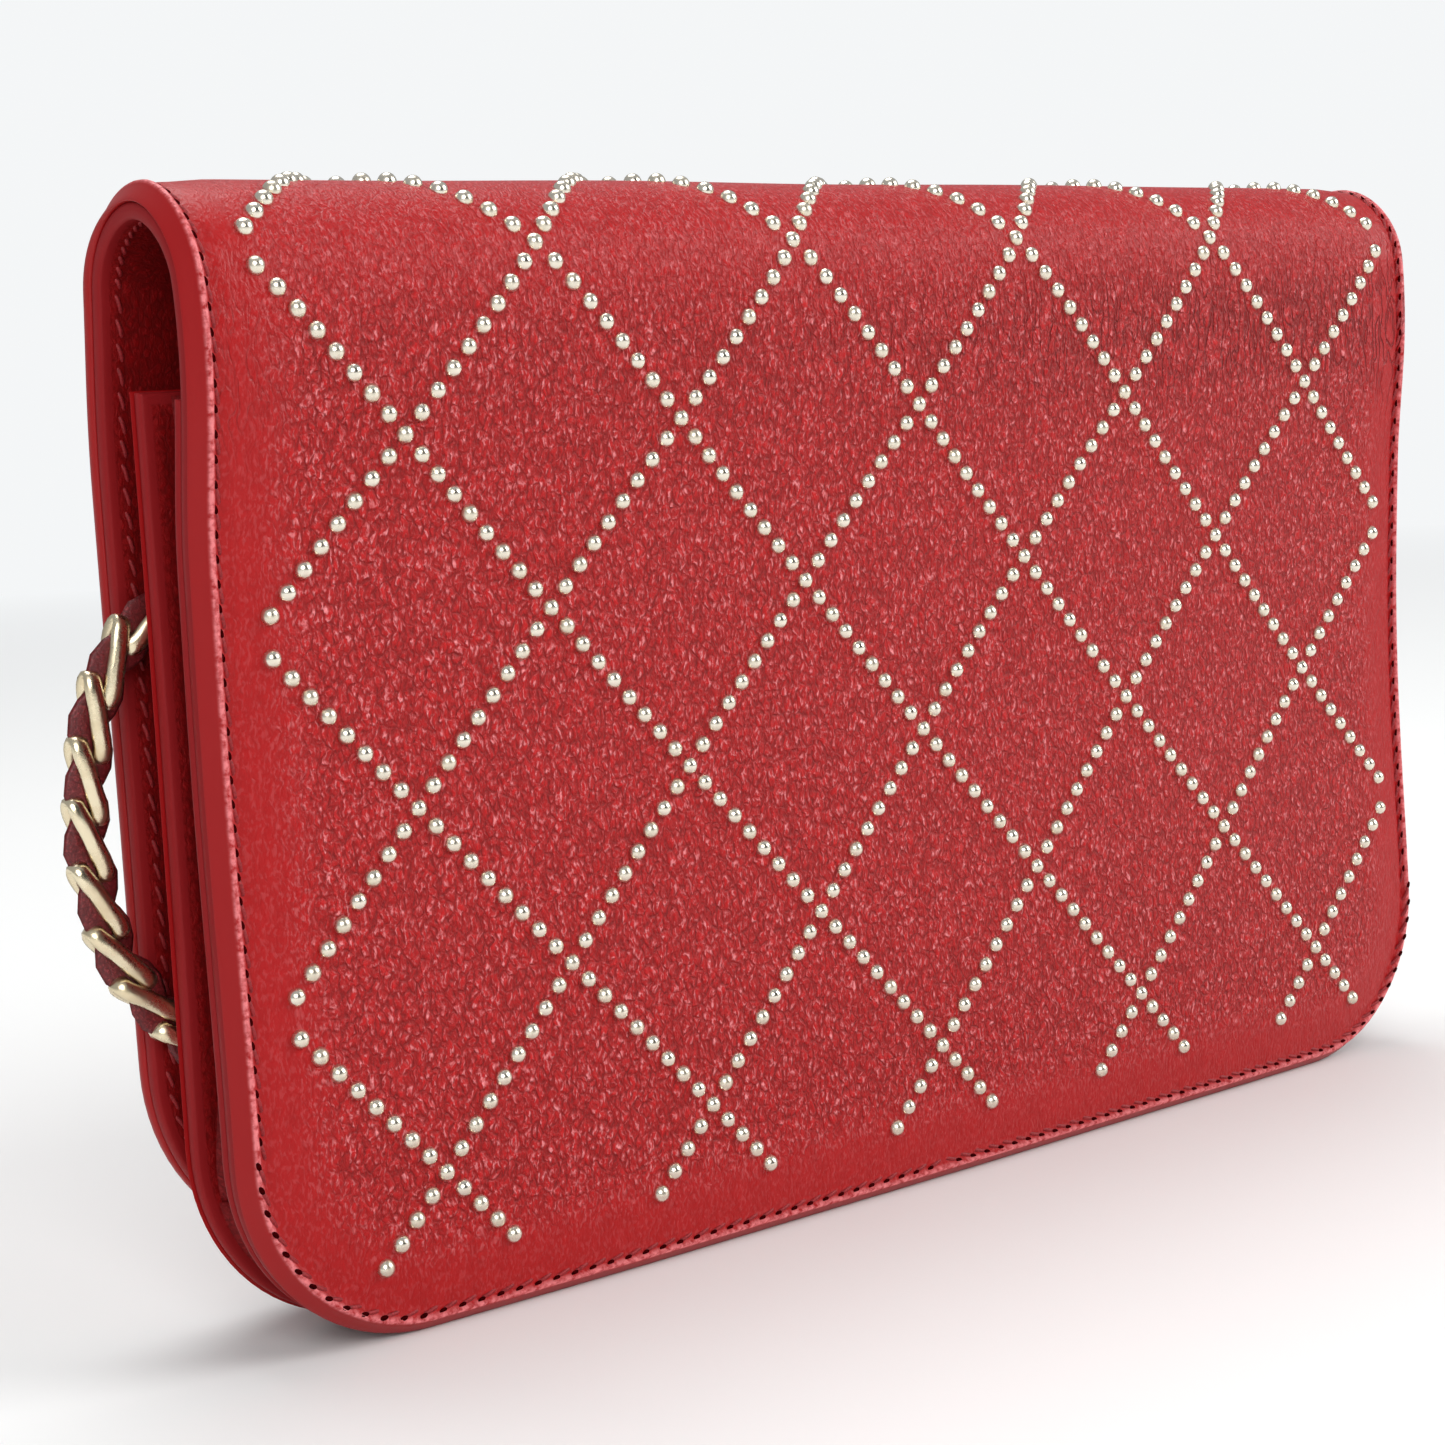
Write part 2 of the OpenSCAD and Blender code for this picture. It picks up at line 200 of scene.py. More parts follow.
def leather_low(x, s):
    """Height of the leather's inner face."""
    return relief(x, s) - LEATHER_T


def lining_low(x, s):
    """Height of the lining's inner face."""
    return relief(x, s) - LEATHER_T - LINING_T


def shell(x, s, h):
    """The point at width x and length s, at height h outside the CAD face."""
    x, s, h = np.broadcast_arrays(np.asarray(x, float), s, h)
    a = np.clip((s - SPRING_Z) / TOP_R, 0, math.pi)
    y = -(TOP_R + h) * np.cos(a)
    z = SPRING_Z + (TOP_R + h) * np.sin(a)
    z = z - np.maximum(SPRING_Z - s, 0) - np.maximum(s - SPRING_Z - ARC, 0)
    return np.stack([x, y, z], -1)


def shell_frame(x, s):
    """Point on the leather's face, its outward normal and the direction of growing s."""
    def face(px, ps):
        return shell(px, ps, leather_top(px, ps))
    step = 0.3
    p = face(x, s)
    across = face(x + step, s) - face(x - step, s)
    along = face(x, s + step) - face(x, s - step)
    normal = np.cross(across, along)
    return p, normal / np.linalg.norm(normal), along / np.linalg.norm(along)


# ---------------------------------------------------------------- mesh helpers
def new_mesh(name, verts, faces, materials, slot, indices=None, attributes=None):
    """A smooth mesh object from points in millimetres, with its materials; its record slot argument is not
    used.
    """
    mesh = bpy.data.meshes.new(name)
    mesh.from_pydata((np.asarray(verts, float) * MM).tolist(), [], faces)
    mesh.polygons.foreach_set("use_smooth", np.ones(len(mesh.polygons), bool))
    for material in materials:
        mesh.materials.append(material)
    if indices is not None:
        mesh.polygons.foreach_set("material_index", np.asarray(indices, np.int32))
    for key, values in (attributes or {}).items():
        values = np.asarray(values, np.float32)
        kind = "FLOAT_VECTOR" if values.ndim == 2 else "FLOAT"
        layer = mesh.attributes.new(key, kind, "POINT")
        layer.data.foreach_set("vector" if values.ndim == 2 else "value", values.ravel())
    mesh.validate()
    obj = bpy.data.objects.new(name, mesh)
    bpy.context.scene.collection.objects.link(obj)
    return obj


def ply(name, rows, columns_at, place, top, bottom, distance, materials, slot,
        meets=(False, False), holes=(), marks=None):
    """A leather ply: two faces on one grid, with half-round edges where distance reaches 0.

    place(x, s, h) gives points, top and bottom (x, s) its two heights, columns_at(s) a row's x;
    meets tells whether the first and last row meet a neighbour, holes are (x, s, radius), and
    marks(x, s) gives how creased and how pressed the leather is."""
    s = np.repeat(np.asarray(rows, float)[:, None], len(columns_at(rows[0])), 1)
    x = np.array([columns_at(v) for v in rows])
    d = distance(x, s)
    high, low = top(x, s), bottom(x, s)
    half = (high - low) / 2
    inward = np.clip(1 - d / EDGE_ROUND, 0, 1)
    drop = np.minimum(half * (1 - np.sqrt(np.maximum(1 - inward ** 2, 0))), half - 0.002)
    upper, lower = place(x, s, high - drop), place(x, s, low + drop)
    n_rows, n_cols = x.shape
    count = n_rows * n_cols
    i, j = n_rows // 2, n_cols // 2
    turn = np.cross(upper[i, j + 1] - upper[i, j], upper[i + 1, j] - upper[i, j])
    flip = turn @ (upper[i, j] - lower[i, j]) < 0
    gone = np.zeros((n_rows - 1, n_cols - 1), bool)
    mid_x = (x[:-1, :-1] + x[1:, 1:]) / 2
    mid_s = (s[:-1, :-1] + s[1:, 1:]) / 2
    for hole_x, hole_s, radius in holes:
        gone |= np.hypot(mid_x - hole_x, mid_s - hole_s) < radius
    cells = np.argwhere(~gone)
    corner = cells[:, 0] * n_cols + cells[:, 1]
    quads = np.stack([corner, corner + 1, corner + n_cols + 1, corner + n_cols], 1)
    if flip:
        quads = quads[:, ::-1]
    edges = {}
    for quad in quads.tolist():
        for a, b in zip(quad, quad[1:] + quad[:1]):
            edges[(a, b)] = True
    walls = [(b, a, a + count, b + count) for a, b in edges if (b, a) not in edges]
    faces = quads.tolist() + (quads[:, ::-1] + count).tolist() + walls
    skin = np.stack([x, s, np.zeros_like(x)], -1).reshape(-1, 3)
    crease, press = marks(x, s) if marks else (0 * x, 0 * x)
    values = {"rim": d, "crease": crease, "press": press}
    values = {key: np.tile(value.ravel(), 2) for key, value in values.items()}
    values["skin"] = np.concatenate([skin, skin])
    obj = new_mesh(name, np.concatenate([upper.reshape(-1, 3), lower.reshape(-1, 3)]), faces,
                   materials, slot, None, values)
    sharpen(obj, n_rows, n_cols, meets)
    tidy_loose(obj, bool(holes))
    return obj


def sharpen(obj, n_rows, n_cols, meets):
    """Marks the edges of a ply's seams sharp, so that they shade like the neighbour's."""
    rows = [r for r, flag in ((0, meets[0]), (n_rows - 1, meets[1])) if flag]
    if not rows:
        return
    count = n_rows * n_cols
    row_of = {r * n_cols + c + k * count: r for r in rows for c in range(n_cols) for k in (0, 1)}
    mesh = obj.data
    ends = np.zeros(2 * len(mesh.edges), np.int32)
    mesh.edges.foreach_get("vertices", ends)
    sharp = [row_of.get(a, -1) == row_of.get(b, -2) for a, b in ends.reshape(-1, 2).tolist()]
    layer = mesh.attributes.get("sharp_edge") or mesh.attributes.new("sharp_edge", "BOOLEAN", "EDGE")
    layer.data.foreach_set("value", np.array(sharp, bool))


def tidy_loose(obj, needed):
    """Drops points that no face uses, which a hole leaves behind."""
    if not needed:
        return
    mesh = bmesh.new()
    mesh.from_mesh(obj.data)
    bmesh.ops.delete(mesh, geom=[v for v in mesh.verts if not v.link_faces], context="VERTS")
    mesh.to_mesh(obj.data)
    mesh.free()


def columns_of(half, inner=112):
    """Column places across a width: crowded at the two edges, even between."""
    left = [-half + v for v in EDGE_STEPS]
    middle = np.linspace(left[-1], -left[-1], inner + 1)[1:-1]
    return np.array(left + middle.tolist() + [-v for v in left[::-1]])


def foot_rows(inset=0.0):
    """Row places near a foot, crowded where the corners turn under."""
    r = CORNER_R - inset
    return [inset + r * (1 - math.cos(math.radians(a))) for a in np.arange(0, 90, 4.5)]


def spread_rows(a, b, step):
    """Even rows from a to b, with a thin first and last row so that shading meets its neighbour."""
    n = max(2, round((b - a) / step))
    inner = np.linspace(a, b, n + 1)[1:-1].tolist()
    return [a, a + 0.03] + inner + [b - 0.03, b]


def tube(path, normals, width, thick, sides=8, closed=False):
    """Points and faces of an oval tube along a path; normals point along its thickness."""
    path, normals = np.asarray(path, float), np.asarray(normals, float)
    if closed:
        along = np.roll(path, -1, 0) - np.roll(path, 1, 0)
    else:
        along = np.gradient(path, axis=0)
    along /= np.linalg.norm(along, axis=1)[:, None]
    normals = normals - (normals * along).sum(1)[:, None] * along
    normals /= np.linalg.norm(normals, axis=1)[:, None]
    across = np.cross(along, normals)
    a = np.linspace(0, 2 * math.pi, sides, endpoint=False)
    rings = (path[:, None] + across[:, None] * np.cos(a)[None, :, None] * width / 2
             + normals[:, None] * np.sin(a)[None, :, None] * thick / 2)
    n = len(path)
    faces = []
    for i in range(n if closed else n - 1):
        for j in range(sides):
            k = (i + 1) % n
            faces.append((i * sides + j, i * sides + (j + 1) % sides,
                          k * sides + (j + 1) % sides, k * sides + j))
    if not closed:
        faces += [tuple(range(sides))[::-1], tuple((n - 1) * sides + j for j in range(sides))]
    return rings.reshape(-1, 3), faces


class Build:
    """Gathers many small shapes into one mesh."""

    def __init__(self):
        self.verts, self.faces, self.indices, self.count = [], [], [], 0

    def add(self, verts, faces, index=0):
        self.verts.append(np.asarray(verts, float))
        self.faces += [tuple(v + self.count for v in f) for f in faces]
        self.indices += [index] * len(faces)
        self.count += len(verts)

    def make(self, name, materials, slot):
        return new_mesh(name, np.concatenate(self.verts), self.faces, materials, slot, self.indices)


def lathe(profile, sides):
    """Points and faces of a profile [(radius, height)] turned about Z, closed at radius 0."""
    verts, faces, rings = [], [], []
    for r, h in profile:
        if r < 1e-6:
            rings.append([len(verts)])
            verts.append((0, 0, h))
        else:
            rings.append(list(range(len(verts), len(verts) + sides)))
            verts += [(r * math.cos(2 * math.pi * k / sides), r * math.sin(2 * math.pi * k / sides), h)
                      for k in range(sides)]
    for a, b in zip(rings, rings[1:]):
        for k in range(sides):
            m = (k + 1) % sides
            if len(a) == 1:
                faces.append((a[0], b[m], b[k])[::-1])
            elif len(b) == 1:
                faces.append((a[k], a[m], b[0]))
            else:
                faces.append((a[k], a[m], b[m], b[k]))
    return np.array(verts), faces


def put(verts, origin, x_axis, z_axis):
    """Moves points made about the origin so that their X and Z axes lie along two directions."""
    z = z_axis / np.linalg.norm(z_axis)
    x = x_axis - (x_axis @ z) * z
    x /= np.linalg.norm(x)
    return origin + verts @ np.array([x, np.cross(z, x), z])


# ---------------------------------------------------------------- materials
class Look:
    """A material and short calls for its nodes; coordinates are in millimetres."""

    def __init__(self, name, skin=False):
        self.material = bpy.data.materials.new(name)
        self.material.use_nodes = True
        self.tree = self.material.node_tree
        self.shader = self.tree.nodes["Principled BSDF"]
        if skin:
            self.at = self.node("ShaderNodeAttribute", attribute_name="skin").outputs["Vector"]
        else:
            place = self.node("ShaderNodeTexCoord").outputs["Object"]
            self.at = self.node("ShaderNodeVectorMath", [place, (1000, 1000, 1000)],
                                operation="MULTIPLY").outputs[0]

    def node(self, kind, values=(), **settings):
        made = self.tree.nodes.new(kind)
        for key, value in settings.items():
            setattr(made, key, value)
        pairs = values.items() if isinstance(values, dict) else enumerate(values)
        for key, value in pairs:
            if isinstance(value, bpy.types.NodeSocket):
                self.tree.links.new(value, made.inputs[key])
            else:
                made.inputs[key].default_value = value
        return made

    def math(self, operation, a, b=0.0, clamp=False):
        return self.node("ShaderNodeMath", [a, b], operation=operation, use_clamp=clamp).outputs[0]

    def noise(self, size, detail=3.0, rough=0.55, at=None):
        """Noise whose features are about size millimetres across."""
        values = {"Vector": at or self.at, "Scale": 1 / size, "Detail": detail, "Roughness": rough}
        return self.node("ShaderNodeTexNoise", values).outputs["Fac"]

    def cells(self, size, feature, at=None, soft=0.6):
        """Cells of about size millimetres: their distance pattern."""
        values = {"Vector": at or self.at, "Scale": 1 / size}
        if feature == "SMOOTH_F1":
            values["Smoothness"] = soft
        return self.node("ShaderNodeTexVoronoi", values, feature=feature).outputs["Distance"]

    def span(self, value, low, high, to_low=0.0, to_high=1.0):
        """Maps low..high to to_low..to_high, held at the ends."""
        made = self.node("ShaderNodeMapRange", [value, low, high, to_low, to_high], clamp=True)
        return made.outputs[0]

    def mix(self, factor, a, b):
        made = self.node("ShaderNodeMix", data_type="RGBA")
        for index, value in ((0, factor), (6, a), (7, b)):
            if isinstance(value, bpy.types.NodeSocket):
                self.tree.links.new(value, made.inputs[index])
            else:
                made.inputs[index].default_value = value if index == 0 else (*value, 1)
        return made.outputs[2]

    def blend(self, factor, a, b):
        """A number between a and b."""
        made = self.node("ShaderNodeMix", data_type="FLOAT")
        for index, value in ((0, factor), (2, a), (3, b)):
            if isinstance(value, bpy.types.NodeSocket):
                self.tree.links.new(value, made.inputs[index])
            else:
                made.inputs[index].default_value = value
        return made.outputs[0]

    def stretched(self, at, share):
        """Coordinates whose features are drawn out along their second axis."""
        return self.node("ShaderNodeVectorMath", [at, (1, share, 1)], operation="MULTIPLY").outputs[0]

    def warped(self, size, amount):
        """The coordinates, shifted about by noise."""
        values = {"Vector": self.at, "Scale": 1 / size, "Detail": 2.0}
        shift = self.node("ShaderNodeTexNoise", values).outputs["Color"]
        moved = self.node("ShaderNodeVectorMath", [shift, (0.5, 0.5, 0.5)],
                          operation="SUBTRACT").outputs[0]
        moved = self.node("ShaderNodeVectorMath", [moved, (amount,) * 3],
                          operation="MULTIPLY").outputs[0]
        return self.node("ShaderNodeVectorMath", [self.at, moved], operation="ADD").outputs[0]

    def attribute(self, name):
        return self.node("ShaderNodeAttribute", attribute_name=name).outputs["Fac"]

    def finish(self, colour, rough, height=None, depth=0.05, **plain):
        """Links colour, roughness and a bump of depth millimetres; plain holds fixed inputs."""
        for key, value in (("Base Color", colour), ("Roughness", rough)):
            if isinstance(value, bpy.types.NodeSocket):
                self.tree.links.new(value, self.shader.inputs[key])
            else:
                self.shader.inputs[key].default_value = (*value, 1) if key[0] == "B" else value
        if height is not None:
            values = {"Strength": 1.0, "Distance": depth * MM, "Height": height}
            bump = self.node("ShaderNodeBump", values)
            self.tree.links.new(bump.outputs[0], self.shader.inputs["Normal"])
        for key, value in plain.items():
            self.shader.inputs[key.replace("_", " ")].default_value = value
        return self.material


def leather(name, dark, mid, light, edge, grain=1.0, depth=0.42, rough=0.34, skin=True, gloss=0.26):
    """Goat-like grain: pebbles drawn out along the hide between fine wrinkles, creases and a pressed
    smooth finish where a mesh's attributes ask for them, and a painted edge. Light and shade are
    painted into the colour: darker valleys and creases, lighter grain tops with highlight flecks, and
    a lighter ridge by the border, partly wear."""
    look = Look(name, skin)
    stretch = look.stretched(look.warped(2.2 * grain, 1.1 * grain), 0.62)
    net = look.span(look.cells(0.95 * grain, "DISTANCE_TO_EDGE", stretch), 0.0, 0.16)
    pebble = look.span(look.cells(0.8 * grain, "SMOOTH_F1", stretch, 0.45), 0.1, 0.6, 1.0, 0.0)
    small = look.noise(0.4 * grain, 2.0, 0.5, stretch)
    folds = look.noise(2.2 * grain, 3.0, 0.6, stretch)
    height = look.math("ADD", look.math("MULTIPLY", net, 0.22), look.math("MULTIPLY", pebble, 0.3))
    height = look.math("ADD", height, look.math("MULTIPLY", small, 0.7))
    height = look.math("ADD", height, look.math("MULTIPLY", folds, 0.2))
    if skin:
        press = look.attribute("press")
        plain = look.math("ADD", look.math("MULTIPLY", folds, 0.35), 0.62)
        plain = look.math("ADD", plain, look.math("MULTIPLY", small, 0.12))
        height = look.blend(look.math("MULTIPLY", press, 0.88), height, plain)
    # Painted shade and light: the grain's valleys are painted darker and its tops lighter.
    tone = look.mix(look.span(height, 0.4, 0.95), dark, mid)
    # Painted highlights: light flecks on the grain's tops, in part worn tips.
    fleck_highlight = look.span(look.noise(0.36 * grain, 1.5, 0.5, look.stretched(stretch, 0.75)), 0.5, 0.66)
    fleck_highlight = look.math("MULTIPLY", fleck_highlight, look.span(height, 0.6, 0.85))
    if skin:
        fleck_highlight = look.math("MULTIPLY", fleck_highlight, look.span(press, 0.0, 1.0, 1.0, 0.15))
        height = look.math("ADD", height, look.math("MULTIPLY", fleck_highlight, 0.35))
    tone = look.mix(fleck_highlight, tone, light)
    roughness = look.span(height, 0.5, 1.15, rough + 0.16, rough)
    if skin:
        tone = look.mix(look.math("MULTIPLY", press, 0.38), tone, dark)
        long = look.stretched(look.warped(6.0, 2.0), 0.28)
        lines = look.math("ABSOLUTE", look.math("SUBTRACT", look.noise(1.5, 2.0, 0.5, long), 0.5))
        crease = look.math("MULTIPLY", look.span(lines, 0.0, 0.055, 1.0, 0.0), look.attribute("crease"))
        # Painted shade: the crease lines are also painted darker.
        tone = look.mix(look.math("MULTIPLY", crease, 0.8), tone, dark)
        height = look.math("SUBTRACT", height, look.math("MULTIPLY", crease, 0.7))
        distance = look.attribute("rim")
        # The ridge beside the bevel is painted lighter: partly wear, partly a painted highlight where the
        # corner catches the light.
        worn_ridge_highlight = look.math("MULTIPLY", look.span(distance, PAINT_W, RIDGE_FROM),
                         look.span(distance, RIDGE_TO, RIDGE_END, 1.0, 0.0))
        worn_ridge_highlight = look.math("MULTIPLY", worn_ridge_highlight, look.span(look.noise(0.8, 3.0, 0.6), 0.35, 0.6))
        tone = look.mix(look.math("MULTIPLY", worn_ridge_highlight, 0.9), tone, light)
        rim = look.span(distance, PAINT_W, PAINT_W + 0.25, 1.0, 0.0)
        tone = look.mix(rim, tone, edge)
        height = look.blend(look.math("MULTIPLY", rim, 0.9), height, 0.8)
        roughness = look.blend(rim, roughness, rough + 0.08)
    return look.finish(tone, roughness, height, depth, Specular_IOR_Level=gloss)


def metal(name, colour, tint, rough, depth=0.012):
    """Plated metal: faint cloudiness, hairline scratches and a dulled tint in places."""
    look = Look(name)
    cloud = look.noise(3.0, 3.0)
    scratch = look.noise(0.25, 2.0, 0.6)
    tone = look.mix(look.span(cloud, 0.4, 0.7), colour, tint)
    roughness = look.math("ADD", look.span(cloud, 0.3, 0.7, rough - 0.05, rough + 0.08),
                          look.math("MULTIPLY", scratch, 0.08))
    return look.finish(tone, roughness, scratch, depth, Metallic=1.0)


def woven(name, dark, light, pitch, rough=0.8):
    """A plain weave of fine threads."""
    look = Look(name)
    split = look.node("ShaderNodeSeparateXYZ", [look.at])
    step = math.pi / pitch
    warp = look.math("SINE", look.math("MULTIPLY", split.outputs[0], step))
    weft = look.math("SINE", look.math("MULTIPLY", split.outputs[2], step))
    height = look.math("MULTIPLY", warp, weft)
    height = look.math("ADD", height, look.noise(0.3))
    tone = look.mix(look.span(height, -0.6, 1.2), dark, light)
    return look.finish(tone, rough, height, 0.05, Sheen_Weight=0.2, Sheen_Roughness=0.5)


def thread(name, dark, light, shine=0.35):
    """Waxed thread: fine twisted strands."""
    look = Look(name)
    strands = look.noise(0.22, 2.0)
    tone = look.mix(look.span(strands, 0.35, 0.65), dark, light)
    return look.finish(tone, 0.55, strands, 0.05, Specular_IOR_Level=shine)


# Leather colours: dark for the painted shade in the grain's valleys and creases and for pressed leather; mid
# for the grain's tops; light for painted highlights on flecks and the border's ridge; edge for the edge
# paint.
RED = leather("red_leather", (0.20, 0.0007, 0.001), (0.455, 0.0035, 0.005), (0.74, 0.20, 0.21),
              (0.30, 0.004, 0.005))
LINING = leather("lining_leather", (0.11, 0.0008, 0.001), (0.19, 0.0014, 0.002), (0.24, 0.005, 0.006),
                 (0.24, 0.008, 0.010), 0.8, 0.08, 0.48, gloss=0.14)
CARD = leather("card_leather", (0.14, 0.002, 0.003), (0.25, 0.004, 0.006), (0.31, 0.012, 0.014),
               (0.18, 0.004, 0.006), 0.7, 0.08, 0.46, gloss=0.2)
PLAIN = leather("gusset_leather", (0.11, 0.001, 0.002), (0.19, 0.002, 0.003), (0.24, 0.008, 0.010),
                (0.15, 0.004, 0.006), 0.8, 0.08, 0.5, False, 0.2)
RIBBON = leather("ribbon_leather", (0.08, 0.003, 0.004), (0.16, 0.008, 0.011), (0.27, 0.03, 0.035),
                 (0.1, 0.005, 0.006), 0.6, 0.06, 0.36, False, 0.5)
GOLD = metal("pale_gold", (0.80, 0.70, 0.50), (0.70, 0.58, 0.38), 0.22)
STUD_GOLD = metal("stud_gold", (0.80, 0.74, 0.63), (0.70, 0.63, 0.50), 0.2)
TAPE = woven("zip_tape", (0.05, 0.004, 0.006), (0.16, 0.010, 0.014), 0.45)
THREAD = thread("red_thread", (0.17, 0.004, 0.006), (0.30, 0.014, 0.018))
# Near-black discs on the leather's face: painted shade of the stitch holes.
HOLE_SHADE = thread("stitch_hole_shade", (0.016, 0.0006, 0.0008), (0.045, 0.001, 0.0015), 0.0)


# ---------------------------------------------------------------- camera, light and floor
CAMERA_AT = Vector((-0.2301, -0.2534, 0.0978))
CAMERA_FORWARD = Vector((0.6300, 0.7673, -0.1197))
CAMERA_RIGHT = Vector((0.7681, -0.6384, -0.0493))
CAMERA_LENS = 69.76


def make_camera():
    """The camera, from its place and two of its directions."""
    forward = CAMERA_FORWARD.normalized()
    right = (CAMERA_RIGHT - CAMERA_RIGHT.dot(forward) * forward).normalized()
    up = right.cross(forward)
    data = bpy.data.cameras.new("camera")
    data.lens = CAMERA_LENS
    data.sensor_width = 36
    data.clip_start = 0.01
    camera = bpy.data.objects.new("camera", data)
    turn = Matrix((right, up, -forward)).transposed().to_4x4()
    camera.matrix_world = Matrix.Translation(CAMERA_AT) @ turn
    bpy.context.scene.collection.objects.link(camera)
    bpy.context.scene.camera = camera


def area_light(name, at, aim, size, power, colour=(1, 1, 1)):
    """A round area light at a place, aimed at a point; both in metres."""
    data = bpy.data.lights.new(name, "AREA")
    data.shape = "DISK"
    data.size = size
    data.energy = power
    data.color = colour
    light = bpy.data.objects.new(name, data)
    light.location = at
    light.rotation_euler = (Vector(aim) - Vector(at)).to_track_quat("-Z", "Y").to_euler()
    bpy.context.scene.collection.objects.link(light)


WORLD_COLOUR = (0.908, 0.922, 0.931)
FILL_STRENGTH = 0.44
DARK_SIDE = Vector((0.0, -0.94, 0.34))
DARK_STRENGTH = 0.04


def make_light():
    """Soft high-key studio light with a large source on the right and a dark room in front."""
    world = bpy.data.worlds.new("studio")
    bpy.context.scene.world = world
    world.use_nodes = True
    tree = world.node_tree
    seen = tree.nodes["Background"]
    seen.inputs[0].default_value = (*WORLD_COLOUR, 1)
    fill = tree.nodes.new("ShaderNodeBackground")
    fill.inputs[0].default_value = (0.95, 0.97, 1.0, 1)
    place = tree.nodes.new("ShaderNodeTexCoord")
    facing = tree.nodes.new("ShaderNodeVectorMath")
    facing.operation = "DOT_PRODUCT"
    facing.inputs[1].default_value = DARK_SIDE
    tree.links.new(place.outputs["Generated"], facing.inputs[0])
    shade = tree.nodes.new("ShaderNodeMapRange")
    for index, value in enumerate((0.80, 0.92, FILL_STRENGTH, DARK_STRENGTH), 1):
        shade.inputs[index].default_value = value
    tree.links.new(facing.outputs["Value"], shade.inputs[0])
    tree.links.new(shade.outputs[0], fill.inputs[1])
    rays = tree.nodes.new("ShaderNodeLightPath")
    both = tree.nodes.new("ShaderNodeMixShader")
    tree.links.new(rays.outputs["Is Camera Ray"], both.inputs[0])
    tree.links.new(fill.outputs[0], both.inputs[1])
    tree.links.new(seen.outputs[0], both.inputs[2])
    tree.links.new(both.outputs[0], tree.nodes["World Output"].inputs[0])
    area_light("key_right", (1.3, -1.1, 0.9), (0, 0, 0.05), 1.05, 24)
    area_light("front_left", (-0.7, -1.0, 0.7), (0, 0, 0.05), 0.9, 9.5)
    area_light("top_back", (0.1, 0.35, 1.2), (0, 0, 0.05), 0.9, 8.8)
    bpy.context.scene.view_settings.view_transform = "Standard"


def make_floor():
    """A plain pale floor that meets the background without a line."""
    look = Look("floor")
    tone = look.mix(look.noise(300.0), (0.80, 0.80, 0.79), (0.82, 0.82, 0.81))
    look.finish(tone, 0.6, None, Specular_IOR_Level=0.2)
    far = look.node("ShaderNodeEmission", {"Color": (*WORLD_COLOUR, 1), "Strength": 1.0})
    reach = look.node("ShaderNodeVectorMath", [look.at], operation="LENGTH").outputs["Value"]
    blend = look.node("ShaderNodeMixShader", [look.span(reach, 350, 1300)])
    look.tree.links.new(look.shader.outputs[0], blend.inputs[1])
    look.tree.links.new(far.outputs[0], blend.inputs[2])
    look.tree.links.new(blend.outputs[0], look.tree.nodes["Material Output"].inputs[0])
    n, radius = 96, 6.0
    verts = [(radius * math.cos(2 * math.pi * k / n), radius * math.sin(2 * math.pi * k / n), 0)
             for k in range(n)]
    mesh = bpy.data.meshes.new("floor")
    mesh.from_pydata(verts, [], [tuple(range(n))])
    mesh.materials.append(look.material)
    floor = bpy.data.objects.new("floor", mesh)
    bpy.context.scene.collection.objects.link(floor)


# ---------------------------------------------------------------- the chain strap
CHAIN_T = 3.2
LOW_LAYER = CHAIN_T / 2
HIGH_LAYER = 3 * CHAIN_T / 2
HANK_Y = 40
HANK_HALF = 38
OUTER_TRACK = 20
INNER_TRACK = 14
LEFT_ROUTE = [
    (-86, 3.9, 78), (-88.8, 5.6, 78), (-92, 5.6, 77.5), (-95.5, 5.5, 75.5), (-98.5, 5.6, 71.5),
    (-100.3, 5.8, 66), (-101.3, 6, 60), (-101.5, 6, 54), (-100.8, 6, 48), (-99, 5.9, 42),
    (-95.8, 5.7, 36.8), (-91.3, 5.5, 32), (-86, 5.4, 27), (-80.3, 5.4, 21.7), (-74.6, 5.4, 16.6),
    (-69.5, 5.4, 11.4), (-65.5, 5.9, 6.2), (-61.6, 8.4, 2.9), (-57, 12.8, 1.7), (-51.5, 17, 1.6),
    (-46.5, 19.2, 1.6), (-42, 20, 1.6)]
RIGHT_ROUTE = [
    (42, 20, 4.8), (50, 20, 4.3), (57, 20, 3.1), (63, 20, 2.1), (69, 19.7, 1.6), (75, 18.9, 1.6),
    (80, 17.2, 1.6), (85, 13.8, 1.6), (87.4, 10, 2.6), (88, 6.6, 6.4), (88, 5.4, 13),
    (88, 5.4, 20), (88, 5.4, 27), (88, 5.4, 36), (88, 5.4, 45), (88, 5.4, 54),
    (87.6, 5.5, 63), (86.8, 5.6, 70), (86.2, 5.7, 74.2), (86, 4.3, 77.5)]
LINK_PITCH = 6.3
LINK_HALF = 4.1
LINK_SPREAD = 1.05
LINK_TILT = -1.35
WIRE_W = 2.1
WIRE_T = 1.25
RIBBON_W = 4.3
RIBBON_T = 0.8
TIE_X = 4


def evenly(points, step):
    """A polyline's points again, spaced evenly."""
    points = np.asarray(points, float)
    far = np.concatenate([[0], np.cumsum(np.linalg.norm(np.diff(points, axis=0), axis=1))])
    at = np.linspace(0, far[-1], max(2, round(far[-1] / step) + 1))
    return np.stack([np.interp(at, far, points[:, k]) for k in range(3)], 1)


def softened(points, step, passes):
    """An even line along a polyline, with its corners rounded."""
    line = evenly(points, step)
    for _ in range(passes):
        line[1:-1] = (line[:-2] + 2 * line[1:-1] + line[2:]) / 4
    return evenly(line, step)


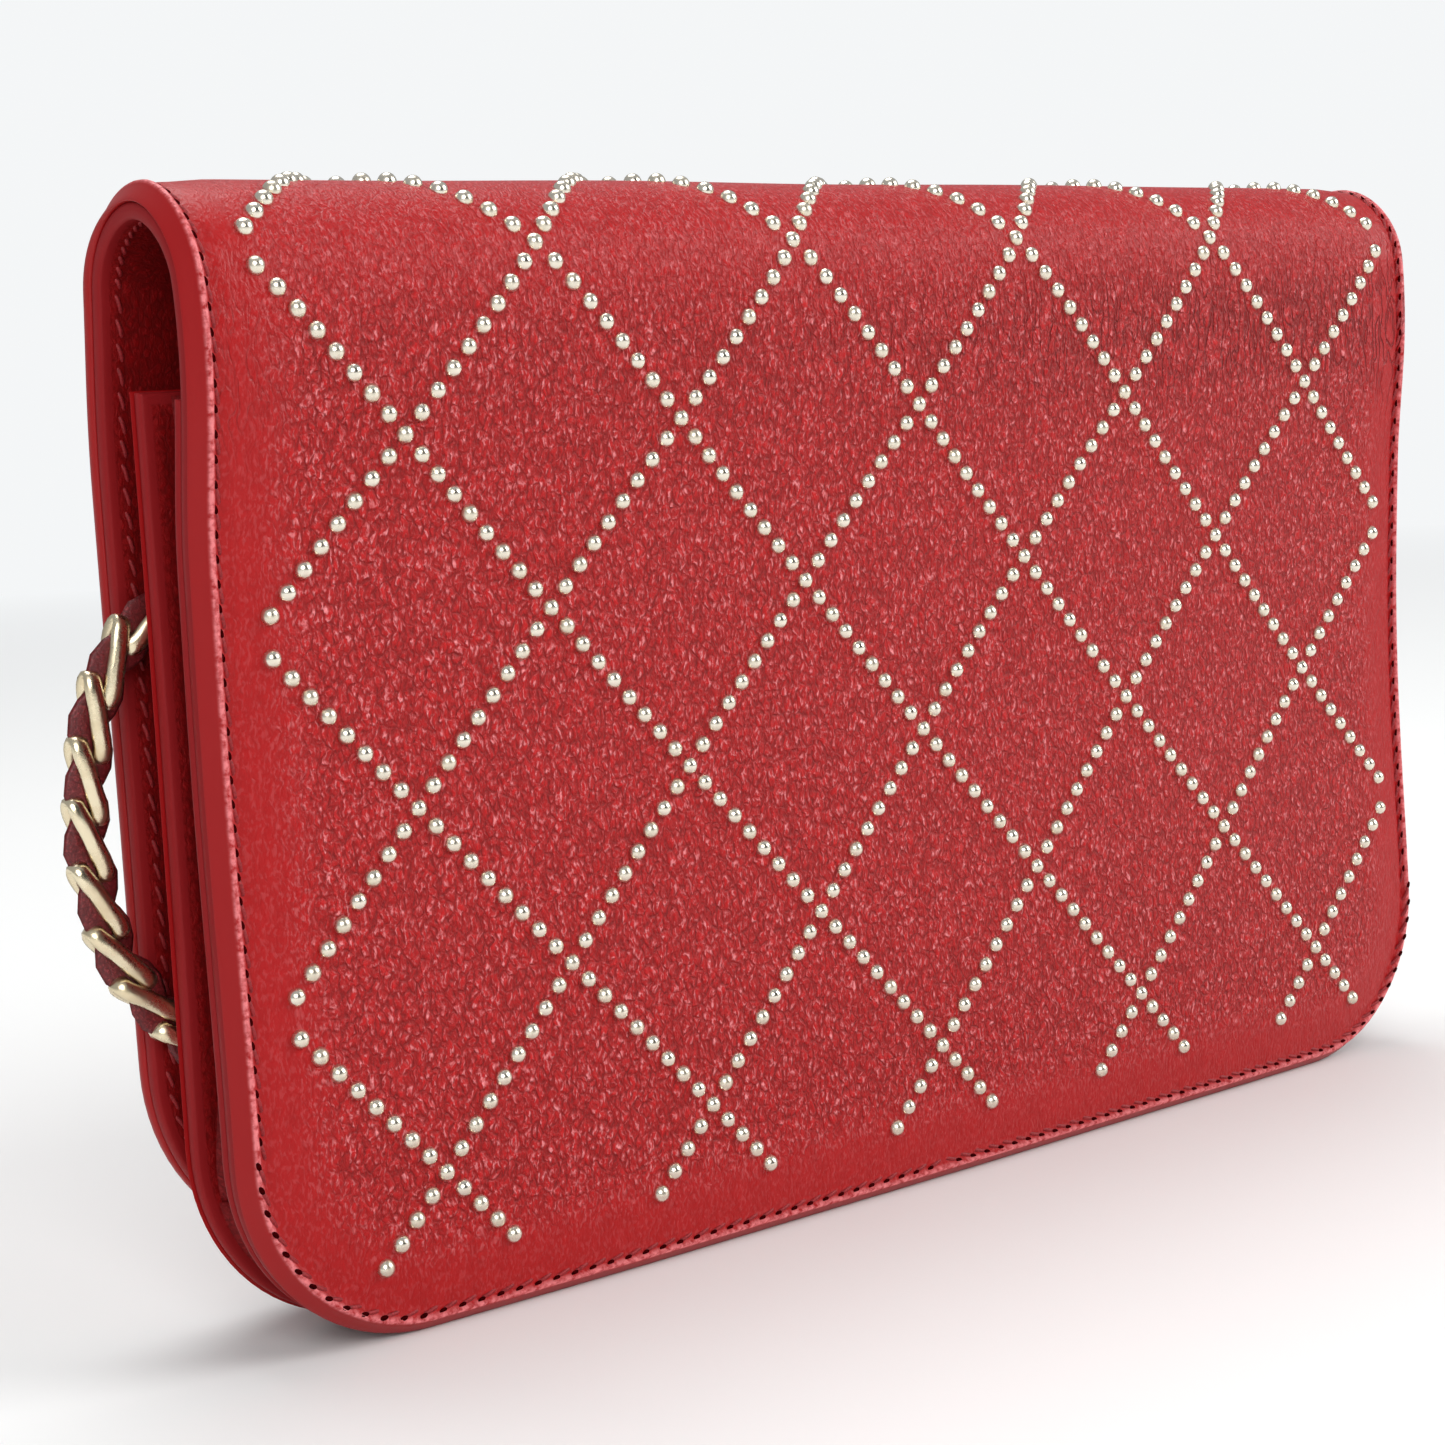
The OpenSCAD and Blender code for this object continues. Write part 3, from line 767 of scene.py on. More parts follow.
def hank_line():
    """Three flat turns: two on the low layer and climbing, the rest on top of them."""
    out, low, high = OUTER_TRACK, LOW_LAYER, HIGH_LAYER
    flat, inner = (lambda t: out), (lambda t: INNER_TRACK)
    dip = lambda t: high - CHAIN_T * (smooth(0.05, 0.4, t) - smooth(0.5, 0.76, t))
    parts = [
        ("front", flat, lambda t: low), ("right", flat, lambda t: low),
        ("back", lambda t: out + (INNER_TRACK - out) * smooth(0, 1, t), lambda t: low),
        ("left", inner, lambda t: low), ("front", inner, lambda t: low),
        ("right", inner, lambda t: low + CHAIN_T * smooth(0.5, 1, t)),
        ("back", inner, lambda t: high), ("left", inner, lambda t: high),
        ("front", inner, lambda t: high),
        ("right", lambda t: INNER_TRACK + (out - INNER_TRACK) * smooth(0, 0.5, t), lambda t: high),
        ("back", flat, lambda t: high), ("left", flat, dip), ("front", flat, lambda t: high)]
    points = []
    for kind, radius, height in parts:
        for t in np.linspace(0, 1, 24, endpoint=False):
            r, z = float(radius(t)), float(height(t))
            turn = math.pi * (t - 0.5)
            along = HANK_HALF * (2 * t - 1)
            points.append({
                "front": (along, HANK_Y - r, z),
                "right": (HANK_HALF + r * math.cos(turn), HANK_Y + r * math.sin(turn), z),
                "back": (-along, HANK_Y + r, z),
                "left": (-HANK_HALF - r * math.cos(turn), HANK_Y - r * math.sin(turn), z),
            }[kind])
    return points


def chain_line():
    """The strap's centreline from the left eyelet to the right one."""
    return softened(LEFT_ROUTE + hank_line() + RIGHT_ROUTE, 0.5, 26)


def strap_normals(line):
    """The strap's thickness direction: up on the floor, along Y against the wallet."""
    upright = smooth(3, 12, line[:, 2]) * (1 - smooth(8, 14, line[:, 1]))
    normals = np.stack([np.zeros(len(line)), upright, 1 - upright], 1)
    along = np.gradient(line, axis=0)
    along /= np.linalg.norm(along, axis=1)[:, None]
    normals -= (normals * along).sum(1)[:, None] * along
    return along, normals / np.linalg.norm(normals, axis=1)[:, None]


def chain_link():
    """One flattened curb link about the origin, along X: its two strands lie either side of the
    ribbon and both lean across it."""
    t = np.linspace(0, 2 * math.pi, 28, endpoint=False)
    x, z = np.cos(t), np.sin(t)
    lean = np.sin(x * math.pi / 2)
    path = np.stack([LINK_HALF * np.sign(x) * np.abs(x) ** 0.8, LINK_TILT * lean,
                     LINK_SPREAD * np.sign(z) * np.abs(z) ** 0.6], 1)
    out = np.stack([x * 0.5, 0 * x, z], 1)
    return tube(path, out, WIRE_W, WIRE_T, 10, closed=True)


def make_chain():
    """The strap: curb links along the whole line, and the ribbon woven through them."""
    line = chain_line()
    step = np.linalg.norm(line[1] - line[0])
    along, normals = strap_normals(line)
    across = np.cross(normals, along)
    link, link_faces = chain_link()
    build = Build()
    length = step * (len(line) - 1)
    count = int((length - 2) / LINK_PITCH)
    first = (length - (count - 1) * LINK_PITCH) / 2
    for i in range(count):
        k = int(round((first + i * LINK_PITCH) / step))
        build.add(line[k] + link @ np.array([along[k], across[k], normals[k]]), link_faces, 0)
    far = np.arange(len(line)) * step - first
    turn = math.pi * far / LINK_PITCH
    weave = line + across * (0.6 * np.sin(turn * 2 + 0.9))[:, None] + normals * (0.35 * np.cos(turn))[:, None]
    build.add(*tube(weave[::2], normals[::2], RIBBON_W, RIBBON_T, 10), 1)
    strap = build.make("chain_strap", [GOLD, RIBBON], "chain_strap")
    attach(strap, "wallet")
    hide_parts("chain_left", "chain_hank", "chain_right")
    return strap, line, length


def make_tie():
    """A flat band round the hank's far run."""
    low, high = cad("hank_tie")
    y0, y1, z1 = low[1] + 0.4, high[1] - 0.4, high[2] - 0.35
    half_y, half_z, middle = (y1 - y0) / 2, (z1 - 0.35) / 2, (y0 + y1) / 2
    t = np.linspace(0, 2 * math.pi, 72, endpoint=False)
    power = 0.45
    y = np.sign(np.cos(t)) * np.abs(np.cos(t)) ** power * half_y + middle
    z = np.sign(np.sin(t)) * np.abs(np.sin(t)) ** power * half_z + half_z + 0.35
    path = np.stack([np.zeros_like(y), y, z], 1)
    out = np.stack([np.zeros_like(y), y - middle, z - half_z], 1)
    build = Build()
    build.add(*tube(path, out, 2 * TIE_X - 0.6, 0.6, 12, closed=True))
    tie = build.make("hank_tie_band", [TAPE], "zip_tape")
    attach(tie, "wallet")
    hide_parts("hank_tie")
    return tie


make_camera()
make_light()
make_floor()
strap, strap_line, strap_length = make_chain()
tie_band = make_tie()


# ---------------------------------------------------------------- the shell: leather and lining
def shell_columns(inset):
    """A row's column places on the shell, for a ply inset from its outline."""
    return lambda s: columns_of(float(half_width(s, inset)))


def cover_rows(part, inset):
    """Rows of one part of the shell: the rear cover, the crest or the flap."""
    if part == "crest":
        return spread_rows(SEAM_REAR, SEAM_FRONT, 0.9)
    rows = foot_rows(inset) + spread_rows(CORNER_R, SEAM_REAR, 1.1)
    return rows if part == "rear" else [SHELL_END - v for v in rows][::-1]


BLENDS = {
    "rear": ("wallet", "top_rear", (0, 0, SPRING_Z - 8), (0, 0, SPRING_Z + 6.6)),
    "crest": ("top_rear", "top_front", (0, -6.8, 0), (0, 6.8, 0)),
    "flap": ("top_front", "flap", (0, 0, SPRING_Z + 6.6), (0, 0, SPRING_Z - 8)),
}


def bend(obj, part):
    """Bakes a piece of the shell's placement into its mesh; its fold in BLENDS is looked up but not applied.
    """
    a, b, start, end = BLENDS[part]
    tuple(v * MM for v in start)
    tuple(v * MM for v in end)
    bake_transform(obj)


def open_ends(part):
    """Whether a part's first and last rows meet a neighbour."""
    return {"rear": (False, True), "crest": (True, True), "flap": (True, False)}[part]


def shell_marks(x, s):
    """Where the shell's leather is creased, and where it is pressed smooth."""
    foot = bump(SPRING_Z - 9, 15, from_end(s))
    right = 0.35 + 0.65 * smooth(-60, 60, np.where(s < SHELL_END / 2, x, -x))
    crease = foot * right + 0.12 * smooth(-20, 80, x)
    edge = 1 - smooth(6, 13, edge_distance(x, s))
    arch = bump(SHELL_END / 2, ARC / 2 + 3, s) ** 0.5 * 0.75
    return crease, np.maximum(edge, arch)


def make_shell(part, nodes):
    """One part of the shell in leather and lining; nodes are the CAD nodes that each stands for."""
    leather_nodes, lining_nodes = nodes
    top = lambda x, s: leather_top(x, s) + stitch_dents(x, s)
    cover = ply(part + "_leather", cover_rows(part, 0), shell_columns(0), shell, top, leather_low,
                edge_distance, [RED], "red_leather", open_ends(part), marks=shell_marks)
    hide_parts(*leather_nodes)
    bend(cover, part)
    inset = LINING_INSET
    lining = ply(part + "_lining", cover_rows(part, inset), shell_columns(inset), shell,
                 leather_low, lining_low, lambda x, s: edge_distance(x, s, inset), [LINING],
                 "lining_leather", open_ends(part))
    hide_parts(*lining_nodes)
    bend(lining, part)


def stitch_dents(x, s):
    """Small hollows where the thread goes in, along the two long sides."""
    d = edge_distance(x, s)
    sides = smooth(CORNER_R - 4, CORNER_R + 4, from_end(s))
    holes = 0.5 + 0.5 * np.cos(2 * math.pi * (s - SPRING_Z) / STITCH_PITCH)
    return -0.15 * np.exp(-((d - STITCH_INSET) / 0.5) ** 2) * (0.45 + 0.55 * holes * sides)


# ---------------------------------------------------------------- studs
def stud_places(first, last):
    """Places (x, s) of the lattice's studs in rows first to last."""
    places = set()
    for line in range(-4, 9):
        shift = STUDS_PER_SIDE * (2 * line + 1)
        for k in range(1, STUD_COLUMNS):
            for v in (k - shift, shift - k):
                if first <= v <= last:
                    places.add((k, v))
    out = []
    for k, v in sorted(places):
        x = (k - STUD_COLUMNS / 2) * STUD_DX
        if v < EDGE_STEP:
            s = SPRING_Z + (v - EDGE_STEP) * STUD_DZ
        elif v < EDGE_STEP + TOP_STEPS:
            s = SPRING_Z + ARC * (v - EDGE_STEP) / TOP_STEPS
        else:
            s = SPRING_Z + ARC + (v - EDGE_STEP - TOP_STEPS) * STUD_DZ
        out.append((x, s))
    return out


def make_studs(name, first, last, slot_body, nodes):
    """Domed studs seated in the leather; slot_body is a body's name or a part of the shell."""
    profile = [(1.0, -0.35), (1.06, -0.05), (1.0, 0.22), (0.86, 0.5), (0.62, 0.75), (0.33, 0.89), (0, 0.94)]
    dome, faces = lathe([(r * STUD_R / 1.06, h) for r, h in profile], 14)
    build = Build()
    for x, s in stud_places(first, last):
        point, normal, along = shell_frame(x, s)
        build.add(put(dome, point - 0.04 * normal, along, normal), faces)
    studs = build.make(name, [STUD_GOLD], "gold_metal")
    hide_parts(*nodes)
    if slot_body in BLENDS:
        bend(studs, slot_body)
    else:
        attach(studs, slot_body)


# ---------------------------------------------------------------- stitching
def outline_track(inset, first, last):
    """Points (x, s) and their outward directions along the shell's outline, from first to last,
    measured from the middle of the foot round one side (x > 0)."""
    r = CORNER_R - inset
    flat = HALF_W - CORNER_R
    corner = r * math.pi / 2
    side = SHELL_END - 2 * CORNER_R
    places = []
    count = max(1, round((last - first) / STITCH_PITCH))
    for q in first + (np.arange(count) + 0.5) * (last - first) / count:
        if q < flat:
            places.append((q, inset, 0.0, -1.0))
        elif q < flat + corner:
            a = (q - flat) / r
            places.append((flat + r * math.sin(a), CORNER_R - r * math.cos(a), math.sin(a), -math.cos(a)))
        elif q < flat + corner + side:
            s = CORNER_R + q - flat - corner
            places.append((float(side_x(s)) - inset, s, 1.0, 0.0))
        elif q < flat + 2 * corner + side:
            a = (q - flat - corner - side) / r
            s = SHELL_END - CORNER_R + r * math.sin(a)
            places.append((flat + r * math.cos(a), s, math.cos(a), math.sin(a)))
        else:
            places.append((flat - (q - flat - 2 * corner - side), SHELL_END - inset, 0.0, 1.0))
    return places


def stitch(build, place, x, s, out_x, out_s, mirror, inner):
    """One slanted stitch about (x, s) of a face, with a dark disc at its end as the painted shade of the
    hole; place(x, s, lift) gives points off the face."""
    tx, ts = -out_s, out_x
    slant = 0.3 * (-1 if inner else 1)
    half = 0.4 * STITCH_PITCH

    def at(t, lift):
        px = x + tx * half * t + out_x * slant * t
        ps = s + ts * half * t + out_s * slant * t
        return place(mirror * px, ps, lift)

    turns = (-1, -0.86, -0.5, 0, 0.5, 0.86, 1)
    points = [at(t, 0.08 - 0.36 * abs(t) ** 3) for t in turns]
    ups = [at(t, 1.0) - at(t, 0.0) for t in turns]
    build.add(*tube(points, ups, 0.5, 0.4, 7), 0)
    if inner:
        return
    # A dark disc laid on the face stands for the hole: painted shade, no real hole.
    middle, up = at(1.22, 0.0), at(1.22, 1.0) - at(1.22, 0.0)
    along = at(1.5, 0.0) - middle
    slot = np.array([(0.5 * math.cos(a), 0.27 * math.sin(a), 0.05) for a in SLOT_TURNS])
    hole_shade_disc = np.vstack([slot, slot * (1, 1, -1), [(0, 0, 0.08)]])
    n = len(SLOT_TURNS)
    faces = [(k, (k + 1) % n, 2 * n) for k in range(n)]
    faces += [(k, k + n, (k + 1) % n + n, (k + 1) % n) for k in range(n)]
    faces.append(tuple(range(n, 2 * n))[::-1])
    build.add(put(hole_shade_disc, middle, along, up), faces, 1)


def shell_lift(inner):
    """place(x, s, lift) for the shell's outer or inner face."""
    def place(x, s, lift):
        if inner:
            return shell(x, s, lining_low(x, s) - lift)
        return shell(x, s, leather_top(x, s) + stitch_dents(x, s) + lift)
    return place


def make_shell_stitches():
    """The stitches round the shell, on its outer and its inner face."""
    inset = STITCH_INSET
    flat = HALF_W - CORNER_R
    corner = (CORNER_R - inset) * math.pi / 2
    to_rear = flat + corner + SEAM_REAR - CORNER_R
    to_front = to_rear + SEAM_FRONT - SEAM_REAR
    total = 2 * flat + 2 * corner + SHELL_END - 2 * CORNER_R
    for part, first, last in (("rear", 0, to_rear), ("crest", to_rear, to_front),
                              ("flap", to_front, total)):
        build = Build()
        for inner in (False, True):
            place = shell_lift(inner)
            for x, s, out_x, out_s in outline_track(inset, first, last):
                for mirror in (1, -1):
                    stitch(build, place, x, s, out_x, out_s, mirror, inner)
        stitches = build.make(part + "_stitches", [THREAD, HOLE_SHADE], "red_leather")
        bend(stitches, part)


# ---------------------------------------------------------------- front pocket
def pocket_relief(x, z):
    """How far the front pocket bows towards the flap."""
    across = (np.asarray(x, float) / HALF_W) ** 2
    return 0.7 * bump(48, 46, z) * (0.4 + 0.6 * across) + 0.1 * ripple(x, z, 30, 2.2) - 0.1


def pocket_distance(inset):
    """Distance from a point of the pocket to its outline."""
    return lambda x, z: np.minimum(edge_distance(x, z, inset), POCKET_TOP - inset * 0.6 - z)


def pocket_face(x, z, h):
    """A point h outside the pocket's CAD face."""
    x, z, h = np.broadcast_arrays(np.asarray(x, float), z, h)
    return np.stack([x, POCKET_HIGH[1] + h, z], -1)


def pocket_rows(inset):
    """Row places of the pocket, crowded at its foot and its top edge."""
    top = POCKET_TOP - inset * 0.6
    middle = np.arange(CORNER_R, top - 8, 1.6).tolist()
    return foot_rows(inset) + middle + [top - v for v in EDGE_STEPS[::-1]]


def eyelet_places():
    """Centres of the two eyelets in X and Z."""
    out = []
    for side in ("left", "right"):
        low, high = cad("eyelet_" + side)
        out.append(((low[0] + high[0]) / 2, (low[2] + high[2]) / 2))
    return out


def pocket_top(x, z):
    """Height of the pocket's outer face."""
    d = pocket_distance(0)(x, z)
    return pocket_relief(x, z) + border(d)


def make_pocket():
    """The front pocket's leather and lining, with the eyelets' holes."""
    thick = POCKET_HIGH[1] - POCKET_LOW[1]
    lining_face = POCKET_IN - POCKET_HIGH[1]
    inset = POCKET_LINING_INSET
    holes = [(x, z, EYELET_HOLE_R) for x, z in eyelet_places()]
    face = ply("pocket_leather", pocket_rows(0), shell_columns(0), pocket_face, pocket_top,
               lambda x, z: pocket_relief(x, z) - thick, pocket_distance(0), [RED], "red_leather",
               holes=holes, marks=lambda x, z: (0.1 + 0 * x, 1 - smooth(5, 11, pocket_distance(0)(x, z))))
    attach(face, "wallet")
    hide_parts("front_panel_leather")
    lining = ply("pocket_lining", pocket_rows(inset), shell_columns(inset), pocket_face,
                 lambda x, z: pocket_relief(x, z) - thick,
                 lambda x, z: pocket_relief(x, z) * 0.6 + lining_face, pocket_distance(inset),
                 [LINING], "lining_leather", holes=holes)
    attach(lining, "wallet")
    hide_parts("front_panel_lining")
    make_pocket_stitches()


def make_pocket_stitches():
    """The stitches round the front pocket and along its top."""
    build = Build()
    place = lambda x, z, lift: pocket_face(x, z, pocket_top(x, z) + lift)
    flat = HALF_W - CORNER_R
    corner = (CORNER_R - STITCH_INSET) * math.pi / 2
    last = flat + corner + POCKET_TOP - CORNER_R - 3
    for x, z, out_x, out_z in outline_track(STITCH_INSET, 0, last):
        for mirror in (1, -1):
            stitch(build, place, x, z, out_x, out_z, mirror, False)
    top = POCKET_TOP - STITCH_INSET
    for x in np.arange(STITCH_PITCH / 2, HALF_W - 3, STITCH_PITCH):
        for mirror in (1, -1):
            stitch(build, place, x, top, 0.0, 1.0, mirror, False)
    stitches = build.make("pocket_stitches", [THREAD, HOLE_SHADE], "red_leather")
    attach(stitches, "wallet")


# ---------------------------------------------------------------- gussets
def rear_inside(x, z):
    """Y of the rear lining's inner face."""
    return REAR_LOW[1] - lining_low(x, z)


def gusset_strip(name, places, node):
    """A folded strip between the two panels; places are (x, z, inward x, inward z, depth)."""
    fold = [(0.0, 0.0), (0.04, 0.35), (0.2, 0.62), (0.36, 0.86), (0.46, 0.985), (0.5, 1.0),
            (0.54, 0.985), (0.64, 0.86), (0.8, 0.62), (0.96, 0.35), (1.0, 0.0)]
    verts, per = [], 2 * len(fold)
    for x, z, in_x, in_z, depth in places:
        y0 = float(rear_inside(x, z)) - 0.3
        y1 = POCKET_IN + float(pocket_relief(x, z)) * 0.6 + 0.3
        outer = [(x + in_x * depth * d, y0 + (y1 - y0) * f, z + in_z * depth * d) for f, d in fold]
        inner = [(px + in_x * GUSSET_T, py, pz + in_z * GUSSET_T) for px, py, pz in outer]
        verts += outer + inner[::-1]
    faces = []
    for i in range(len(places) - 1):
        for j in range(per):
            k = (j + 1) % per
            faces.append((i * per + j, i * per + k, (i + 1) * per + k, (i + 1) * per + j))
    faces += [tuple(range(per))[::-1], tuple((len(places) - 1) * per + j for j in range(per))]
    strip = new_mesh(name, verts, faces, [PLAIN], "card_leather")
    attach(strip, "wallet")
    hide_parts(node)


def make_gussets():
    """Both side gussets with their flanges, and the bottom gusset between them."""
    join_z, inset, deep, shallow = 16.0, 1.3, 8.0, 1.2
    depth_at = lambda z: shallow + (deep - shallow) * float(smooth(join_z - 8, join_z + 26, z))
    for side, name in ((-1, "left"), (1, "right")):
        places = []
        for z in np.linspace(join_z, POCKET_TOP - 0.6, 44):
            x = side * (float(half_width(z)) - inset)
            places.append((x, z, -side, 0.0, depth_at(z)))
        gusset_strip(name + "_gusset_fold", places, name + "_gusset")
        make_flange(side, name + "_gusset_flange")
    r = CORNER_R - inset
    flat = HALF_W - CORNER_R
    low = math.acos((CORNER_R - join_z) / r)
    places = []
    for side in (-1, 1):
        turns = np.linspace(low, 0, 16)
        if side > 0:
            turns = turns[::-1]
        for a in turns:
            z = CORNER_R - r * math.cos(a)
            places.append((side * (flat + r * math.sin(a)), z, -side * math.sin(a), math.cos(a), depth_at(z)))
    gusset_strip("bottom_gusset_fold", places, "bottom_gusset")


def make_flange(side, name):
    """The gusset's flange, sewn to the rear lining along one side."""
    inset = 0.15

    def columns(s):
        places = side * (float(half_width(s, inset)) - np.array(EDGE_STEPS))
        return places if side < 0 else places[::-1]

    distance = lambda x, s: np.minimum(edge_distance(x, s, inset), FLANGE_TOP - s)
    rows = [s for s in foot_rows(inset) if s > 4] + np.arange(CORNER_R, FLANGE_TOP - 3, 1.6).tolist()
    rows += [FLANGE_TOP - v for v in (2, 1, 0.4, 0.22, 0.1, 0.03, 0)]
    flange = ply(name, rows, columns, shell, lining_low, lambda x, s: lining_low(x, s) - FLANGE_T,
                 distance, [LINING], "card_leather")
    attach(flange, "wallet")


# ---------------------------------------------------------------- card slots and zip pocket
def plate_columns(x0, x1):
    """Column places of a flat plate, crowded at its two edges."""
    left = [x0 + v for v in PLATE_STEPS]
    right = [x1 - v for v in PLATE_STEPS][::-1]
    middle = np.linspace(left[-1], right[0], 34)[1:-1].tolist()
    return lambda s: np.array(left + middle + right)


def plate_rows(z0, z1):
    """Row places of a flat plate, crowded at its two edges."""
    low = [z0 + v for v in PLATE_STEPS]
    high = [z1 - v for v in PLATE_STEPS][::-1]
    return low + np.linspace(low[-1], high[0], 26)[1:-1].tolist() + high


def plate_distance(x0, x1, z0, z1):
    """Distance from a point of a flat plate to its outline."""
    return lambda x, z: np.minimum(np.minimum(x - x0, x1 - x), np.minimum(z - z0, z1 - z))


def make_card_slots():
    """Six slots; each has a turned and creased top edge and rests on the ply behind."""
    for side in ("left", "right"):
        for row in ("top", "middle", "bottom"):
            node = "card_slot_" + side + "_" + row
            low, high = cad(node)
            inside = float(low[1] - REAR_LOW[1])
            thick = float(high[1] - low[1])
            z1 = float(high[2])
            crease = lambda z, z1=z1: 0.16 * np.exp(-(((z - z1 + 2.6) / 0.35) ** 2))
            swell = lambda z, z1=z1: 0.14 * np.exp(-(((z - z1 + 1.2) / 1.1) ** 2))
            back = lambda x, s, inside=inside: relief(x, s) - inside
            front = lambda x, s, back=back, thick=thick, crease=crease, swell=swell: (
                back(x, s) - thick + crease(s) - swell(s))
            slot = ply(node + "_ply", plate_rows(low[2], z1), plate_columns(low[0], high[0]), shell,
                       back, front, plate_distance(low[0], high[0], low[2], z1), [CARD], "card_leather")
            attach(slot, "wallet")
            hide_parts(node)
    build = Build()
    low, high = cad("card_slot_left_bottom")
    inset = CARD_STITCH_INSET
    for x in (low[0] + inset, high[0] - inset, -high[0] + inset, -low[0] - inset):
        for z in np.arange(low[2] + 1.5, high[2] - 1.0, STITCH_PITCH):
            place = lambda px, pz, lift: shell(px, pz, relief(px, pz) - CARD_FACE_DEPTH - lift)
            stitch(build, place, abs(x), z, 1.0, 0.0, math.copysign(1, x), True)
    stitches = build.make("card_slot_stitches", [THREAD, HOLE_SHADE], "card_leather")
    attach(stitches, "wallet")


def rounded_box(low, high, r, levels=2):
    """Points and faces of a box with rounded edges."""
    low, high = np.array(low, float), np.array(high, float)
    half = (high - low) / 2
    r = min(r, *(half * 0.98))
    n = 2 * (levels + 1)
    ticks = [math.tan(math.radians(a)) for a in np.linspace(-45, 0, levels + 1)]
    line = ticks + [-t for t in ticks[::-1]]
    shift = [-1] * (levels + 1) + [1] * (levels + 1)
    index, verts, faces = {}, [], []

    def corner(q):
        if q not in index:
            core = np.array([shift[c] for c in q]) * (half - r)
            out = np.array([shift[c] if c in (0, n - 1) else line[c] for c in q], float)
            out /= np.linalg.norm(out)
            index[q] = len(verts)
            verts.append((low + high) / 2 + core + out * r)
        return index[q]

    for axis in range(3):
        a, b = (axis + 1) % 3, (axis + 2) % 3
        for end in (0, n - 1):
            for i in range(n - 1):
                for j in range(n - 1):
                    quad = []
                    for di, dj in ((0, 0), (1, 0), (1, 1), (0, 1)):
                        q = [0, 0, 0]
                        q[axis], q[a], q[b] = end, i + di, j + dj
                        quad.append(corner(tuple(q)))
                    faces.append(tuple(quad if end else quad[::-1]))
    return np.array(verts), faces


def make_zip():
    """The zip pocket's panel, woven tapes and interlocking teeth."""
    for node, material, slot in (("zip_pocket_panel", CARD, "card_leather"),
                                 ("zip_tape_lower", TAPE, "zip_tape"),
                                 ("zip_tape_upper", TAPE, "zip_tape")):
        low, high = cad(node)
        thick = float(high[1] - low[1])
        place = lambda x, z, h, y=float(low[1]): np.stack(
            np.broadcast_arrays(np.asarray(x, float), y - h, z), -1)
        bulge = lambda x, z: 0.12 * bump(50, 40, z) * bump(0, 80, x)
        sheet = ply(node + "_sheet", plate_rows(low[2], high[2]), plate_columns(low[0], high[0]), place,
                    bulge, lambda x, z, thick=thick: 0 * x - thick,
                    plate_distance(low[0], high[0], low[2], high[2]), [material], slot)
        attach(sheet, "wallet")
        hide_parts(node)
    low, high = cad("zip_teeth")
    count = round((high[0] - low[0]) / TOOTH_PITCH)
    build = Build()
    for i in range(count):
        x = low[0] + 0.7 + i * (high[0] - low[0] - 1.4) / (count - 1)
        shift = 0.25 if i % 2 else -0.25
        build.add(*rounded_box((x - TOOTH_HALF, low[1], low[2] + 0.15 + shift * 0.5),
                               (x + TOOTH_HALF, high[1], high[2] - 0.15 + shift * 0.5), 0.25, 1))
    teeth = build.make("zip_teeth_row", [GOLD], "gold_metal")
    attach(teeth, "wallet")
    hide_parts("zip_teeth")
    make_zip_slider()


def make_zip_slider():
    """The zip's slider with its bridge, and the pull that hangs on the bridge."""
    low, high = cad("zip_slider")
    pull_low, pull_high = cad("zip_pull")
    x = (low[0] + high[0]) / 2
    z = (low[2] + high[2]) / 2
    pin_y = low[1] + 0.4
    plate_y = high[1] - 1.0
    build = Build()
    build.add(*rounded_box((low[0], plate_y, low[2]), (high[0], high[1], high[2]), 0.5, 3))
    arch = [(x + 1.9 * math.cos(a), plate_y + 0.2 - (plate_y + 0.2 - pin_y) * math.sin(a), z)
            for a in np.linspace(0, math.pi, 15)]
    build.add(*tube(arch, np.tile([0.0, 0.0, 1.0], (15, 1)), 0.7, 0.8, 10))
    slider = build.make("zip_slider_body", [GOLD], "gold_metal")
    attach(slider, "zip_slider")
    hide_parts("zip_slider")
    build = Build()
    half = (pull_high[0] - pull_low[0]) / 2
    y = pin_y
    top, foot = z + 0.2, pull_low[2]
    outline = []
    for a in np.linspace(0, 2 * math.pi, 40, endpoint=False):
        grow = 0.72 if math.sin(a) > 0 else 1.0
        outline.append((x + half * grow * math.copysign(abs(math.cos(a)) ** 0.6, math.cos(a)),
                        y, (top + foot) / 2 + (top - foot) / 2
                        * math.copysign(abs(math.sin(a)) ** 0.6, math.sin(a))))
    outline = np.array(outline)
    middle = outline.mean(0)
    rings = []
    for shrink, lift in ((0.35, 0.3), (0.86, 0.3), (1.0, 0.12), (1.0, -0.12), (0.86, -0.3), (0.35, -0.3)):
        ring = middle + (outline - middle) * shrink
        ring[:, 1] = y + lift
        rings.append(ring)
    n, m = len(outline), len(rings)
    faces = []
    for i in range(m):
        for j in range(n):
            k, q = (i + 1) % m, (j + 1) % n
            faces.append((i * n + j, i * n + q, k * n + q, k * n + j))
    build.add(np.concatenate(rings), faces)
    loop = [(x, y + 0.78 * math.cos(a), z + 0.78 * math.sin(a)) for a in
            np.linspace(0, 2 * math.pi, 20, endpoint=False)]
    build.add(*tube(loop, np.tile([1.0, 0.0, 0.0], (20, 1)), 0.5, 1.2, 8, closed=True))
    pull = build.make("zip_pull_tab", [GOLD], "gold_metal")
    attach(pull, "zip_pull")
    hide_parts("zip_pull")


# ---------------------------------------------------------------- metal fittings
def turned(name, profile, x, z, y, facing, node, body="wallet"):
    """A part turned about Y: profile radii and distances from y towards facing."""
    verts, faces = lathe(profile, 48)
    placed = put(verts, np.array([x, y, z]), np.array([1.0, 0, 0]), np.array([0, facing, 0.0]))
    obj = new_mesh(name, placed, faces, [GOLD], "gold_metal")
    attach(obj, body)
    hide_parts(node)


